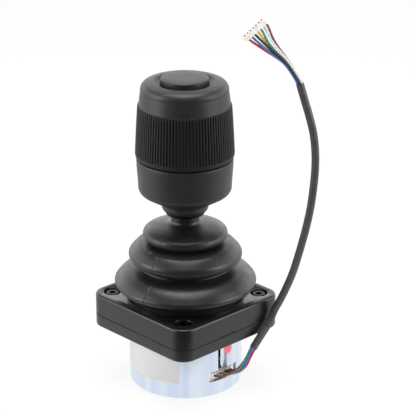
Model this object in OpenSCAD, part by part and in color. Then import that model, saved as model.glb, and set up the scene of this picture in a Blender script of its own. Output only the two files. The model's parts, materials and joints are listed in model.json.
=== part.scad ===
// Three-axis hall-effect joystick: tilting stick, twist grip and push button.
// Origin: centre of the can's base on the surface it stands on; +Z up the stick.
// The flange's sides lie along X and Y, and the lead leaves the can towards +X.

/* [Can] */
// Outer diameter of the plated can
can_d = 48; // [46:0.5:50]
// Wall thickness of the can
can_wall = 0.8; // [0.6:0.1:1]
// Height of the can, up to the flange's underside
can_h = 24; // [22:0.5:26]

/* [Flange] */
// Side of the square flange
flange_w = 58; // [56:1:64]
// Corner radius of the flange
flange_corner_r = 6.75; // [5:0.25:8]
// Height of the lower half of the flange
lower_flange_h = 5.6; // [5:0.2:7]
// Height of the upper half, the bezel
bezel_h = 9.1; // [8.5:0.1:11]
// Fillet round the flange's outer edges
flange_edge_r = 1; // [0.5:0.1:1.2]
// Distance between neighbouring fixing screws
screw_pitch = 44; // [43:0.5:46]
// Diameter of the fixing screws
screw_d = 3; // [3]

/* [Stick] */
// Height of both tilt axes above the base
pivot_z = 31; // [30.5:0.5:31.5]
// Diameter of the hollow stick
shaft_d = 8; // [7:0.5:8]

/* [Grip] */
// Largest diameter of the knurled sleeve
sleeve_d = 41.3; // [41:0.1:43]
// Diameter of the sleeve's upper edge
sleeve_top_d = 38.9; // [38.5:0.1:39.5]
// Number of ribs on the sleeve
rib_count = 96; // [72:6:108]
// Width of the groove between two ribs
groove_w = 0.5; // [0.4:0.05:0.6]
// Depth of the grooves
groove_depth = 0.45; // [0.3:0.05:0.6]
// Diameter of the push button
button_d = 19.8; // [18:0.2:20]

/* [Bellows] */
// Wall thickness of the rubber bellows
bellows_wall = 1.2; // [1:0.1:1.4]

/* [Lead] */
// Diameter of the lead's sleeve
lead_d = 3.3; // [3.1:0.1:3.5]
// Diameter of one insulated wire
wire_d = 1; // [0.9:0.05:1]
// Pitch of the contacts
contact_pitch = 1.5; // [1.5]

/* [Hidden] */
$fn = 64;
eps = 0.01;

// Levels up the object
parting_z = can_h + lower_flange_h;
flange_top_z = parting_z + bezel_h;
collar_z = 76;
cup_z = 79.9;
cup_top_z = 100.2;
sleeve_z = 100.75;
sleeve_top_z = 122.9;
crest_z = 132.85;
button_top_z = 134.5;

can_r = can_d / 2;
can_rim_h = 0.95;
shaft_r = shaft_d / 2;
journal_r = 3;
journal_z = 103;
pin_r = 1.5;
running_gap = 0.04;
press_gap = 0.01;
hub_r = 6;
gimbal_in_r = 9.4;
gimbal_out_r = 12.6;
gimbal_h = 5.6;
screw_seat_z = parting_z + 5.8;
screw_head_r = 2.75;
screw_head_h = 3;
screw_len = 14;
board_z = 4.6;
board_t = 1.6;
board_r = 20.5;
spacer_ring_r = 17.5;
slot_z = [6.7, 11.4];
slot_half_angle = 19.5;
slit_angle = -7.4;
slit_w = 1.2;
slit_fillet_r = 3.2;
header_w = 14.4;
plug_z = 8.8;
plug_back_x = 22.3;

// ---------- shared shapes ----------

function lerp(a, b, t) = a + (b - a) * t;
function unit(v) = v / norm(v);
function arc(c, r, a0, a1, steps) =
    [for (i = [0 : steps]) let (a = lerp(a0, a1, i / steps)) c + r * [cos(a), sin(a)]];
function shifted(a, t, pts) =
    [for (i = [0 : len(pts) - 1])
        let (before = pts[max(i - 1, 0)], after = pts[min(i + 1, len(pts) - 1)], d = unit(after - before))
        pts[i] + t * [-d[1], d[0]]];

// Square prism with rounded corners and, if asked, filleted lower or upper edges
module rounded_plate(w, corner, h, top_r = 0, bottom_r = 0) {
    module outline(inset, z0, z1) {
        half = w / 2 - inset;
        for (side = [[half, w / 2 - corner], [w / 2 - corner, half]])
            translate([-side[0], -side[1], z0]) cube([2 * side[0], 2 * side[1], z1 - z0]);
        for (sx = [-1, 1], sy = [-1, 1])
            translate([sx * (w / 2 - corner), sy * (w / 2 - corner), z0])
                cylinder(r = corner - inset, h = z1 - z0);
    }
    module edge(r, z) {
        for (s = [-1, 1]) {
            translate([s * (w / 2 - r), 0, z]) rotate([90, 0, 0])
                cylinder(r = r, h = w - 2 * corner, center = true, $fn = 32);
            translate([0, s * (w / 2 - r), z]) rotate([0, 90, 0])
                cylinder(r = r, h = w - 2 * corner, center = true, $fn = 32);
        }
        for (sx = [-1, 1], sy = [-1, 1])
            translate([sx * (w / 2 - corner), sy * (w / 2 - corner), z])
                rotate_extrude() translate([corner - r, 0]) circle(r = r, $fn = 32);
    }
    outline(0, bottom_r, h - top_r);
    if (top_r > 0) {
        outline(top_r, h - top_r - eps, h);
        edge(top_r, h - top_r);
    }
    if (bottom_r > 0) {
        outline(bottom_r, 0, bottom_r + eps);
        edge(bottom_r, bottom_r);
    }
}

module at_screws() {
    for (sx = [-1, 1], sy = [-1, 1])
        translate([sx * screw_pitch / 2, sy * screw_pitch / 2, 0]) children();
}

module ring(r_in, r_out, z0, z1) {
    translate([0, 0, z0]) difference() {
        cylinder(r = r_out, h = z1 - z0);
        translate([0, 0, -1]) cylinder(r = r_in, h = z1 - z0 + 2);
    }
}

module hex_nut(across, bore_r, z0, z1) {
    translate([0, 0, z0]) difference() {
        cylinder(r = across / sqrt(3), h = z1 - z0, $fn = 6);
        translate([0, 0, -1]) cylinder(r = bore_r, h = z1 - z0 + 2);
    }
}

// Pan-head screw standing on its seat, pointing down
module pan_screw(d, len, head_d, head_h) {
    difference() {
        cylinder(d = head_d, h = head_h, $fn = 32);
        for (a = [0, 90]) rotate([0, 0, a])
            translate([-head_d * 0.3, -head_d * 0.06, head_h * 0.5])
                cube([head_d * 0.6, head_d * 0.12, head_h]);
    }
    translate([0, 0, -len]) cylinder(d = d, h = len + eps, $fn = 32);
}

// Round tube swept along points, its rings turned from one to the next without twist
module tube(path, r, sides = 8) {
    last = len(path) - 1;
    dirs = [for (i = [0 : last]) unit(path[min(i + 1, last)] - path[max(i - 1, 0)])];
    first = unit(cross(dirs[0], abs(dirs[0][2]) > 0.9 ? [1, 0, 0] : [0, 0, 1]));
    normals = [for (i = 0, n = first; i <= last;
                    n = i < last ? unit(n - dirs[i + 1] * (n * dirs[i + 1])) : n, i = i + 1) n];
    points = [for (i = [0 : last], k = [0 : sides - 1])
        let (a = 360 * k / sides, n = normals[i], b = cross(dirs[i], n))
        path[i] + r * (cos(a) * n + sin(a) * b)];
    walls = [for (i = [0 : last - 1], k = [0 : sides - 1])
        let (a = i * sides + k, b = i * sides + (k + 1) % sides)
        each [[b + sides, b, a], [a + sides, b + sides, a]]];
    ends = [[for (k = [0 : sides - 1]) k], [for (k = [sides - 1 : -1 : 0]) last * sides + k]];
    polyhedron(points, concat(walls, ends));
}

// Wound spring about +Z, with a straight leg at each end when leg is above 0
module coil(mean_r, wire_r, turns, z0, z1, leg = 0, steps = 12) {
    n = ceil(turns * steps);
    turn = [for (i = [0 : n]) let (t = i / n, a = 360 * turns * t)
        [mean_r * cos(a), mean_r * sin(a), lerp(z0 + wire_r, z1 - wire_r, t)]];
    end_a = 360 * turns;
    far_leg = [mean_r * cos(end_a) - leg * sin(end_a), mean_r * sin(end_a) + leg * cos(end_a), z1 - wire_r];
    legs = leg > 0 ? [[[mean_r, -leg, z0 + wire_r]], [far_leg]] : [[], []];
    tube(concat(legs[0], turn, legs[1]), wire_r, 8);
}

// ---------- base: can, flange and what they hold ----------

module can_opening() {
    // Slot that the lead's plug sits behind
    rotate([0, 0, -slot_half_angle]) translate([0, 0, slot_z[0]])
        rotate_extrude(angle = 2 * slot_half_angle)
            translate([can_r - 3, 0]) square([6, slot_z[1] - slot_z[0]]);
    // Narrow slit up to the rim, so that the can slips over the fitted lead
    rotate([0, 0, slit_angle]) translate([can_r - 3, -slit_w / 2, slot_z[1] - 1])
        cube([6, slit_w, can_h]);
    // The slit's right side runs out into the slot in a quarter round
    rotate([0, 0, slit_angle]) translate([can_r - 3, slit_w / 2 - eps, slot_z[1] - eps]) difference() {
        cube([6, slit_fillet_r, slit_fillet_r]);
        translate([-1, slit_fillet_r, slit_fillet_r]) rotate([0, 90, 0]) cylinder(r = slit_fillet_r, h = 8);
    }
}

module can() {
    edge_r = 1.2;
    in_r = can_r - can_wall;
    wall = concat([[0, 0], [can_r - edge_r, 0]], arc([can_r - edge_r, edge_r], edge_r, -90, 0, 6),
                  [[can_r, can_h + can_rim_h], [in_r, can_h + can_rim_h]],
                  arc([in_r - edge_r, can_wall + edge_r], edge_r, 0, -90, 6), [[0, can_wall]]);
    color([0.86, 0.89, 0.93]) difference() {
        rotate_extrude() polygon(wall);
        can_opening();
    }
}

label_angles = [-127, -50];
label_z = [7.4, 21.9];
module blank_label() {
    color([0.93, 0.93, 0.92]) rotate([0, 0, label_angles[0]]) translate([0, 0, label_z[0]])
        rotate_extrude(angle = label_angles[1] - label_angles[0])
            translate([can_r + press_gap, 0]) square([0.15, label_z[1] - label_z[0]]);
}

module inspection_dot() {
    color([1, 0.45, 0.48]) intersection() {
        ring(can_r + press_gap, can_r + 0.16, can_h - 8, can_h - 0.2);
        rotate([0, 0, 4.5]) translate([can_r, 0, 20.05]) rotate([0, 90, 0])
            cylinder(r = 2.4, h = 4, center = true);
    }
}

flange_hole_r = 17.5;
flange_pocket_r = 21.2;
spigot_z = can_h - 3.2;
gate_boss_r = 19.9;
module at_gate_bosses() {
    for (a = [45 : 90 : 315]) rotate([0, 0, a]) translate([gate_boss_r, 0, 0]) children();
}
flange_pocket_z = can_h + 2;
parting_gap = 0.35;
module lower_flange() {
    spigot_out_r = can_r - can_wall - 0.1;
    color([0.16, 0.16, 0.17]) difference() {
        union() {
            translate([0, 0, can_h])
                rounded_plate(flange_w, flange_corner_r, lower_flange_h - parting_gap, 0, flange_edge_r);
            translate([0, 0, can_h + 2])
                rounded_plate(flange_w - 2 * parting_gap, flange_corner_r - parting_gap, lower_flange_h - 2);
            ring(spigot_out_r - 1.7, spigot_out_r, spigot_z, can_h + 1);
            at_gate_bosses() translate([0, 0, spigot_z]) cylinder(r = 2, h = can_h + 1 - spigot_z);
        }
        translate([0, 0, can_h - 1]) cylinder(r = flange_hole_r, h = can_h);
        // Groove that takes the can's rim
        ring(spigot_out_r, can_r + 0.25, can_h - 1, can_h + 1);
        translate([0, 0, flange_pocket_z]) cylinder(r = flange_pocket_r, h = can_h);
        at_gate_bosses() translate([0, 0, spigot_z - 1]) cylinder(d = 1.6, h = 3.4, $fn = 32);
        at_screws() translate([0, 0, can_h - 1]) cylinder(d = screw_d + 0.2, h = lower_flange_h + 2);
        at_cradle_screws() translate([0, 0, flange_pocket_z - 1.4]) cylinder(d = 1.6, h = 2, $fn = 32);
    }
}

bezel_hole_r = 24.6;
bezel_cavity_r = 26.6;
bezel_lip = 1.5;
module bezel() {
    pry_slot = [-8, 0.9];
    color([0.13, 0.13, 0.14]) difference() {
        translate([0, 0, parting_z]) rounded_plate(flange_w, flange_corner_r, bezel_h, flange_edge_r, 0);
        translate([0, 0, parting_z - 1]) cylinder(r = bezel_cavity_r, h = bezel_h - bezel_lip + 1);
        translate([0, 0, parting_z]) cylinder(r = bezel_hole_r, h = bezel_h + 1);
        at_screws() {
            translate([0, 0, parting_z - 1]) cylinder(d = screw_d + 0.2, h = bezel_h + 2);
            translate([0, 0, screw_seat_z]) cylinder(r = screw_head_r + 0.9, h = bezel_h);
        }
        translate([flange_w / 2 - 0.9, pry_slot[0], parting_z - 1])
            cube([2, pry_slot[1] - pry_slot[0], 1.5]);
    }
}

module mounting_screws() {
    r = screw_d / 2;
    out_z = can_h - screw_seat_z;
    color([0.1, 0.1, 0.11]) at_screws() translate([0, 0, screw_seat_z]) difference() {
        rotate_extrude() polygon([[0, -screw_len], [r - 0.3, -screw_len], [r, 0.3 - screw_len], [r, out_z],
                                  [r - 0.05, out_z], [r - 0.05, 0], [screw_head_r, 0],
                                  [screw_head_r, screw_head_h - 0.4], [screw_head_r - 0.4, screw_head_h],
                                  [0, screw_head_h]]);
        translate([0, 0, screw_head_h - 1.6]) cylinder(r = 2.5 / sqrt(3), h = 3, $fn = 6);
    }
}

// Outline of the bellows' outer face from its foot up to its neck
foot_r = 24.3;
neck_r = 5.9;
bellows_top_z = 74.6;
bellows_outer = concat(
    [[foot_r, flange_top_z - bezel_lip], [foot_r, 41.2]],
    arc([28.2, 45.1], 1.75, -95, 45, 9),
    [[26.2, 49.6], [25.2, 50.3], [20.6, 51.3], [19, 52.6], [20, 54.1]],
    arc([21.1, 57.1], 2.8, -95, 45, 10),
    [[20.5, 61.6], [19.5, 62.3], [15.4, 62.9], [14.1, 63.6], [14.6, 64]],
    arc([15.6, 66.3], 2.2, -95, 72, 10),
    [[12.4, 69.7], [9, 70.4]],
    arc([neck_r + 1, 71.7], 1, 255, 180, 4),
    [[neck_r, bellows_top_z]]);
// Fold at which the lower and the upper part of the bellows meet
bellows_fold_z = 52.45;
module bellows_shell() {
    skirt_r = 26.4;
    skirt_z = flange_top_z - bezel_lip;
    inner = shifted(0, bellows_wall, bellows_outer);
    last = len(bellows_outer) - 1;
    inner_side = [for (i = [last - 1 : -1 : 1]) inner[i]];
    foot = [[skirt_r, skirt_z - bellows_wall], [skirt_r, skirt_z]];
    inner_foot = [[foot_r - bellows_wall, skirt_z - bellows_wall]];
    neck_in = shaft_r + 0.3;
    rotate_extrude()
        polygon(concat(foot, bellows_outer, [[neck_in, bellows_top_z], [neck_in, 70.2]],
                       [for (p = inner_side) if (p[0] > neck_in + 0.6) p], inner_foot));
}

module bellows_lower() {
    color([0.17, 0.17, 0.18]) difference() {
        bellows_shell();
        translate([0, 0, bellows_fold_z]) cylinder(r = 40, h = 60);
    }
}

module bellows_upper() {
    color([0.17, 0.17, 0.18]) difference() {
        bellows_shell();
        translate([0, 0, bellows_fold_z + press_gap - 60]) cylinder(r = 40, h = 60);
    }
}

module bellows_ring() {
    color([0.2, 0.2, 0.21]) ring(24.4, 26.4, parting_z, flange_top_z - bezel_lip - bellows_wall);
}

lug_x = [14, 16.8];
cradle_t = 2;
module at_cradle_screws() {
    for (a = [45 : 90 : 315]) rotate([0, 0, a]) translate([17.4, 0, 0]) children();
}
module gimbal_cradle() {
    lug_w = 8;
    color([0.3, 0.31, 0.33]) difference() {
        union() {
            ring(14, flange_pocket_r - 0.2, flange_pocket_z, flange_pocket_z + cradle_t);
            for (s = [-1, 1]) {
                translate([s > 0 ? lug_x[0] : -lug_x[1], -lug_w / 2, flange_pocket_z])
                    cube([lug_x[1] - lug_x[0], lug_w, pivot_z - flange_pocket_z]);
                translate([s > 0 ? lug_x[0] : -lug_x[1], 0, pivot_z]) rotate([0, 90, 0])
                    cylinder(d = lug_w, h = lug_x[1] - lug_x[0]);
            }
        }
        translate([0, 0, pivot_z]) rotate([0, 90, 0])
            cylinder(r = pin_r + running_gap, h = 60, center = true);
        at_cradle_screws() translate([0, 0, flange_pocket_z - 1]) cylinder(d = 2.2, h = 4, $fn = 32);
    }
}

gate_t = 1.5;
gate_half = 6.8;
module gate_plate() {
    color([0.7, 0.71, 0.73]) difference() {
        translate([0, 0, spigot_z - gate_t]) cylinder(r = can_r - can_wall - 0.2, h = gate_t);
        translate([-gate_half, -gate_half, spigot_z - gate_t - 1])
            cube([2 * gate_half, 2 * gate_half, gate_t + 2]);
        translate([15.5, -4, spigot_z - gate_t - 1]) cube([10, 8, gate_t + 2]);
        at_gate_bosses() translate([0, 0, spigot_z - gate_t - 1]) cylinder(d = 1.8, h = 4, $fn = 32);
    }
}

module gate_screws() {
    color([0.75, 0.75, 0.77]) at_gate_bosses() translate([0, 0, spigot_z - gate_t]) mirror([0, 0, 1])
        pan_screw(1.58, 3.8, 3, 1);
}

module cradle_screws() {
    color([0.75, 0.75, 0.77]) at_cradle_screws() translate([0, 0, flange_pocket_z + cradle_t])
        pan_screw(1.6, 3.2, 3, 1);
}

module at_spacers() {
    for (a = [60, 180, 300]) rotate([0, 0, a]) translate([spacer_ring_r, 0, 0]) children();
}

module sensor_board() {
    color([0.05, 0.35, 0.2]) difference() {
        translate([0, 0, board_z]) cylinder(r = board_r, h = board_t);
        at_spacers() translate([0, 0, board_z - 1]) cylinder(d = 2.2, h = 4, $fn = 32);
    }
}

module board_spacers() {
    color([0.8, 0.8, 0.78]) at_spacers() ring(1.1, 2.2, can_wall, board_z);
}

module board_screws() {
    color([0.75, 0.75, 0.77]) at_spacers() translate([0, 0, board_z + board_t])
        pan_screw(2, 4.4, 3.8, 1.2);
}

module tilt_sensor() {
    color([0.08, 0.08, 0.09]) translate([-2.5, -2.5, board_z + board_t]) cube([5, 5, 1.2]);
}

module header() {
    depth = 7;
    h = 4.6;
    color([0.94, 0.93, 0.89]) difference() {
        translate([plug_back_x - 0.5 - depth, -header_w / 2, board_z + board_t]) cube([depth, header_w, h]);
        translate([plug_back_x - 4.8, -header_w / 2 + 1.1, plug_z - 1.45]) cube([6, header_w - 2.2, 2.9]);
    }
}

module inner_wires() {
    // Two signal wires from the board up to the cradle
    for (i = [0, 1])
        color(i == 0 ? [0.75, 0.72, 0.1] : [0.25, 0.5, 0.3])
            tube([for (p = [[17.4, -9.4, board_z + board_t + 0.5], [20.2, -8.6, 9.4], [20.7, -7, 12.6],
                            [21.4, -4, 14.6], [20.9, -1.9, 18], [18.6, -1.1, 21], [16.2, -0.9, 23.2],
                            [15.9, -0.9, flange_pocket_z - 0.4]])
                  [p[0], i == 0 ? p[1] : -p[1], p[2]]], 0.5);
}

module tilt_spring_x() {
    color([0.7, 0.71, 0.73]) for (s = [-1, 1])
        translate([0, 0, pivot_z]) rotate([0, 90 * s, 0])
            coil(2.3, 0.3, 4.5, lug_x[1], 20.2, 1.5);
}

// ---------- lead ----------

lead_route = [[31.2, 9.5, 20], [31.2, 14, 24.2], [31.3, 18.5, 28.5], [31.9, 21.4, 34], [34.8, 21.8, 39.6],
              [38.1, 22.3, 46.8], [41, 22.7, 54], [43.8, 22.6, 62], [46.3, 22.6, 70], [48.6, 22.5, 78],
              [50.5, 22.4, 86], [51.7, 22.4, 94], [52.3, 22.6, 102], [52.3, 22.5, 110], [51.6, 21.9, 118],
              [50.2, 20.5, 126], [49, 19.2, 132], [47.6, 17.7, 139]];
near_route = [[plug_back_x + 0.1, 0, plug_z], [25.9, 1.3, 8.7], [28.9, 4.7, 11.5],
              [30.6, 7.4, 16.2], lead_route[0] - 0.2 * unit(lead_route[1] - lead_route[0])];
near_row = [[0, 1.5, 0], [0.25, 1.4, -0.04], [0.45, 0.9, 0.2], [0.33, 0.45, 0.2], [0, 0, 0]];
near_gather = [0, 0, 0.1, 0.65, 1];
near_turns = [190, 70, 250, 130, -1, 310, 10];
far_entry = [35.8, 5.5, 160.4];
lead_end = lead_route[len(lead_route) - 1];
lead_end_dir = unit(lead_end - lead_route[len(lead_route) - 2]);
far_route = [lead_end + 0.2 * lead_end_dir, [44.1, 14.1, 147], [38.9, 8.8, 154.6],
             far_entry - 0.15 * [-0.478, -0.495, 0.725]];
far_gather = [1, 0.8, 0.35, 0];
far_turns = [300, 240, -1, 0, 180, 120, 60];
connector_turn = [0, -43.5, 46];
row_dir = [cos(43.5) * cos(46), cos(43.5) * sin(46), sin(43.5)];
plug_in_dir = [-sin(43.5) * cos(46), -sin(43.5) * sin(46), cos(43.5)];
wire_colours = [[0.47, 0.27, 0.29], [0.85, 0.85, 0.85], [0.29, 0.59, 0.49], [0.88, 0.7, 0.24],
                [0.2, 0.22, 0.22], [0.27, 0.47, 0.75], [0.8, 0.15, 0.25]];
wires = len(wire_colours);

// Place of a wire in the round bundle: one in the middle, where turn is below 0, and six round it
function bundle_place(turn, along) =
    let (n = unit(cross(along, [0, 0, 1])), b = cross(along, n))
    turn < 0 ? [0, 0, 0] : wire_d * (cos(turn) * n + sin(turn) * b);
function row_place(i) = contact_pitch * (i - (wires - 1) / 2);

module lead_plug() {
    color([0.95, 0.94, 0.9]) difference() {
        translate([plug_back_x - 4.8, -header_w / 2 + 1.2, plug_z - 1.3]) cube([4.8, header_w - 2.4, 2.6]);
        for (i = [0 : wires - 1])
            translate([plug_back_x - 0.8, row_place(i) - 0.25, plug_z + 0.65]) cube([2, 0.5, 1.2]);
    }
}

module lead_wires_near() {
    along = unit(lead_route[1] - lead_route[0]);
    for (i = [0 : wires - 1]) color(wire_colours[i])
        tube([for (k = [0 : len(near_route) - 1])
            near_route[k] + (1 - near_gather[k]) * (i - (wires - 1) / 2) * near_row[k]
            + near_gather[k] * bundle_place(near_turns[i], along)], wire_d / 2);
}

module lead_sleeve() {
    color([0.22, 0.21, 0.22]) tube(lead_route, lead_d / 2);
}

module lead_wires_far() {
    for (i = [0 : wires - 1]) color(wire_colours[i])
        tube([for (k = [0 : len(far_route) - 1])
            far_route[k] - (1 - far_gather[k]) * row_place(i) * row_dir
            + far_gather[k] * bundle_place(far_turns[i], lead_end_dir)], wire_d / 2);
}

module lead_connector() {
    length = (wires - 1) * contact_pitch + 3;
    depth = 3.6;
    thick = 3.2;
    color([0.96, 0.96, 0.94]) translate(far_entry) rotate([0, 0, connector_turn[2]])
        rotate([0, connector_turn[1], 0]) difference() {
            union() {
                translate([-length / 2, -thick / 2, 0]) cube([length, thick, depth - 0.4]);
                translate([-length / 2 + 0.5, -thick / 2 + 0.5, 0]) cube([length - 1, thick - 1, depth]);
            }
            for (i = [0 : wires - 1]) {
                translate([row_place(i) - 0.35, -thick / 2 - 0.1, depth - 1.5]) cube([0.7, 0.7, 0.7]);
                translate([row_place(i) - 0.35, -0.35, depth - 1.2]) cube([0.7, 0.7, 2]);
            }
        }
}

// ---------- gimbal ----------

module gimbal_ring() {
    color([0.62, 0.64, 0.66]) difference() {
        union() {
            ring(gimbal_in_r, gimbal_out_r, pivot_z - gimbal_h / 2, pivot_z + gimbal_h / 2);
            for (s = [-1, 1]) translate([s * (gimbal_out_r - 1.4), 0, pivot_z]) rotate([0, 90 * s, 0])
                cylinder(r = 2.7, h = lug_x[0] - 0.2 - gimbal_out_r + 1.4);
        }
        translate([0, 0, pivot_z]) rotate([0, 90, 0])
            cylinder(r = pin_r + press_gap, h = 60, center = true);
        translate([0, 0, pivot_z]) rotate([90, 0, 0])
            cylinder(r = pin_r + running_gap, h = 60, center = true);
    }
}

module tilt_pins_x() {
    color([0.8, 0.8, 0.82]) for (s = [-1, 1])
        translate([s > 0 ? gimbal_in_r : -20.6, 0, pivot_z]) rotate([0, 90, 0])
            cylinder(r = pin_r, h = 20.6 - gimbal_in_r);
}

module tilt_spring_y() {
    color([0.7, 0.71, 0.73]) for (s = [-1, 1])
        translate([0, 0, pivot_z]) rotate([-90 * s, 0, 0])
            coil(2.2, 0.25, 4.5, hub_r + 0.1, gimbal_in_r - 0.3, 0);
}

// ---------- stick ----------

magnet_z = 9.6;
magnet_h = 2.6;
rod_z = 12.8;
module stick_shaft() {
    color([0.72, 0.73, 0.75]) difference() {
        union() {
            translate([0, 0, pivot_z]) sphere(r = hub_r);
            translate([0, 0, pivot_z]) cylinder(r = shaft_r, h = journal_z - pivot_z);
            translate([0, 0, journal_z - eps]) cylinder(r = journal_r, h = 14.6);
            translate([0, 0, rod_z]) cylinder(r = 2.5, h = pivot_z - rod_z);
        }
        translate([0, 0, pivot_z + 3]) cylinder(r = 1.8, h = 100);
        for (s = [-1, 1]) translate([0, 0, pivot_z]) rotate([-90 * s, 0, 0]) translate([0, 0, 2.4])
            cylinder(r = pin_r + press_gap, h = 10);
    }
}

module tilt_pins_y() {
    color([0.8, 0.8, 0.82]) for (s = [-1, 1])
        translate([0, 0, pivot_z]) rotate([-90 * s, 0, 0]) translate([0, 0, 2.4])
            cylinder(r = pin_r, h = gimbal_out_r - 2.4);
}

module magnet_holder() {
    color([0.25, 0.25, 0.26]) difference() {
        translate([0, 0, magnet_z]) cylinder(r = 4.4, h = 5.4);
        translate([0, 0, magnet_z - 1]) cylinder(r = 3 + press_gap, h = magnet_h + 1);
        translate([0, 0, rod_z]) cylinder(r = 2.5 + press_gap, h = 10);
    }
}

module stick_magnet() {
    color([0.6, 0.6, 0.62]) translate([0, 0, magnet_z]) cylinder(r = 3, h = magnet_h);
}

camera_side = -44;
module collar_locknut() {
    nut_r = 8.1;
    flat_x = 7.87;
    nut_z = collar_z - 0.8;
    color([0.14, 0.14, 0.15]) difference() {
        ring(shaft_r + 0.05, nut_r, nut_z, collar_z);
        for (s = [0, 180]) rotate([0, 0, camera_side + s])
            translate([flat_x, -5, nut_z - 1]) cube([5, 10, 3]);
    }
}

module shaft_collar() {
    outline = concat([[shaft_r + 0.05, collar_z], [7.6, collar_z]],
                     arc([7.4, 78.6], 2.6, -78, 0, 6), [[10, cup_z], [shaft_r + 0.05, cup_z]]);
    color([0.16, 0.16, 0.17]) difference() {
        rotate_extrude() polygon(outline);
        rotate([0, 0, 180 + camera_side]) translate([5, 0, 78.2]) rotate([0, 90, 0])
            cylinder(r = 1 + press_gap, h = 10);
        rotate([0, 0, 180 + camera_side]) translate([0, 0, 78.2]) rotate([0, 90, 0])
            cylinder(r = 0.99, h = 10, $fn = 32);
    }
}

module collar_set_screw() {
    color([0.1, 0.1, 0.11]) rotate([0, 0, 180 + camera_side]) translate([5.2, 0, 78.2])
        rotate([0, 90, 0]) difference() {
            cylinder(r = 0.97, h = 3.6, $fn = 32);
            translate([0, 0, 2.6]) cylinder(r = 0.5, h = 2, $fn = 6);
        }
}

cup_edge_r = 3.3;
cup_edge_c = [16.2, 87.4];
spigot_r = 17.6;
spigot_top_z = 108;
ledge_z = 97;
module grip_cup() {
    wall = 1.9;
    outer = concat([[10, cup_z]], arc(cup_edge_c, cup_edge_r, -59.5, -4, 7),
                   [[19.84, 93.7], [20.15, cup_top_z]]);
    step = [[spigot_r, cup_top_z], [spigot_r, spigot_top_z], [spigot_r - 1.6, spigot_top_z],
            [spigot_r - 1.6, ledge_z], [14.6, ledge_z], [14.6, ledge_z - 1.2], [17.2, ledge_z - 3]];
    inner = concat(arc(cup_edge_c, cup_edge_r - wall, -4, -59.5, 6),
                   [[10.5, 82.6], [shaft_r + 0.05, 82.6], [shaft_r + 0.05, cup_z]]);
    color([0.17, 0.17, 0.175]) rotate_extrude() polygon(concat(outer, step, inner));
}

module cup_nut() {
    color([0.72, 0.73, 0.75]) hex_nut(12, shaft_r + 0.02, 82.6, 85.8);
}

module twist_board() {
    color([0.05, 0.35, 0.2]) ring(shaft_r + 0.3, 15.6, ledge_z, ledge_z + 1.2);
}

module twist_sensor() {
    color([0.08, 0.08, 0.09]) translate([7.6, -2, ledge_z + 1.2]) cube([4, 4, 1.2]);
}

module twist_bush() {
    color([0.78, 0.66, 0.42]) {
        ring(journal_r + press_gap, 7, journal_z, journal_z + 1);
        ring(journal_r + press_gap, 5, journal_z, 115.2);
    }
}

module twist_spring() {
    color([0.7, 0.71, 0.73]) coil(5.4, 0.35, 4.25, ledge_z + 1.2 + press_gap, journal_z - press_gap, 0);
}

module shaft_nut() {
    color([0.72, 0.73, 0.75]) {
        ring(journal_r + press_gap, 6, 115.2, 115.7);
        hex_nut(9, journal_r + press_gap, 115.7, 117.4);
    }
}

// ---------- grip: what turns over the cup ----------

web_z = [112, 114.5];
boss_ring_r = 12.9;
post_ring_r = 9;
board_post_z = 117.9;
module at_bosses(r) {
    for (a = [30, 150, 270]) rotate([0, 0, a]) translate([r, 0, 0]) children();
}

module grip_hub() {
    color([0.35, 0.36, 0.38]) difference() {
        union() {
            translate([0, 0, 104.2]) cylinder(r = 8, h = 115 - 104.2);
            translate([0, 0, 104.2]) cylinder(r = 11, h = 1.8);
            translate([0, 0, web_z[0]]) cylinder(r = 16.4, h = web_z[1] - web_z[0]);
            at_bosses(post_ring_r) translate([0, 0, web_z[1] - eps])
                cylinder(r = 1.4, h = board_post_z - web_z[1]);
        }
        translate([0, 0, 100]) cylinder(r = 5 + running_gap, h = 20);
        at_bosses(boss_ring_r) translate([0, 0, web_z[0] - 1]) cylinder(d = 2.3, h = 4, $fn = 32);
    }
}

module twist_magnet() {
    color([0.5, 0.5, 0.52]) ring(8, 10.5, 101.8, 104.2);
}

grooves_z = 102.6;
module grip_sleeve() {
    in_r = 17.95;
    top_r = sleeve_top_d / 2;
    low_r = sleeve_d / 2;
    wide_z = 102;
    steps = 6;
    barrel = [for (i = [0 : steps]) let (t = i / steps)
        [lerp(low_r, top_r, t) + 0.28 * t * (1 - t), lerp(wide_z, sleeve_top_z, t)]];
    lean = atan((low_r - top_r) / (sleeve_top_z - wide_z));
    color([0.11, 0.11, 0.11]) difference() {
        rotate_extrude() polygon(concat([[in_r, sleeve_z], [low_r - 0.4, sleeve_z],
                                         [low_r - 0.08, sleeve_z + 0.4]], barrel, [[in_r, sleeve_top_z]]));
        for (i = [0 : rib_count - 1]) rotate([0, 0, 360 * i / rib_count])
            translate([low_r - groove_depth, -groove_w / 2, grooves_z]) rotate([0, -lean, 0])
                cube([3, groove_w, 30]);
    }
}

cap_shoulder_c = [15.2, 129.5];
cap_shoulder_r = 3;
cap_lip_z = sleeve_top_z;
button_hole_r = button_d / 2 + 0.25;
module grip_cap() {
    skirt_r = 17.9;
    roof_z = 128;
    outer = concat([[skirt_r, 111.5], [skirt_r, cap_lip_z], [19.05, cap_lip_z], [19.0, 123.6]],
                   arc(cap_shoulder_c, cap_shoulder_r, 2, 81, 9), [[13.4, 132.75]],
                   arc([12.5, crest_z - 0.8], 0.8, 80, 170, 5), [[11, 131.6], [button_hole_r, 131.4]]);
    inner = [[button_hole_r, roof_z], [15.6, roof_z], [15.8, 127], [15.8, web_z[1]], [16.5, web_z[1]],
             [16.5, 111.5]];
    color([0.18, 0.18, 0.185]) {
        rotate_extrude() polygon(concat(outer, inner));
        difference() {
            at_bosses(boss_ring_r) translate([0, 0, web_z[1]])
                cylinder(r = 1.6, h = roof_z - web_z[1] + eps);
            at_bosses(boss_ring_r) translate([0, 0, web_z[1] - 1]) cylinder(d = 1.6, h = 7, $fn = 32);
        }
    }
}

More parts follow.
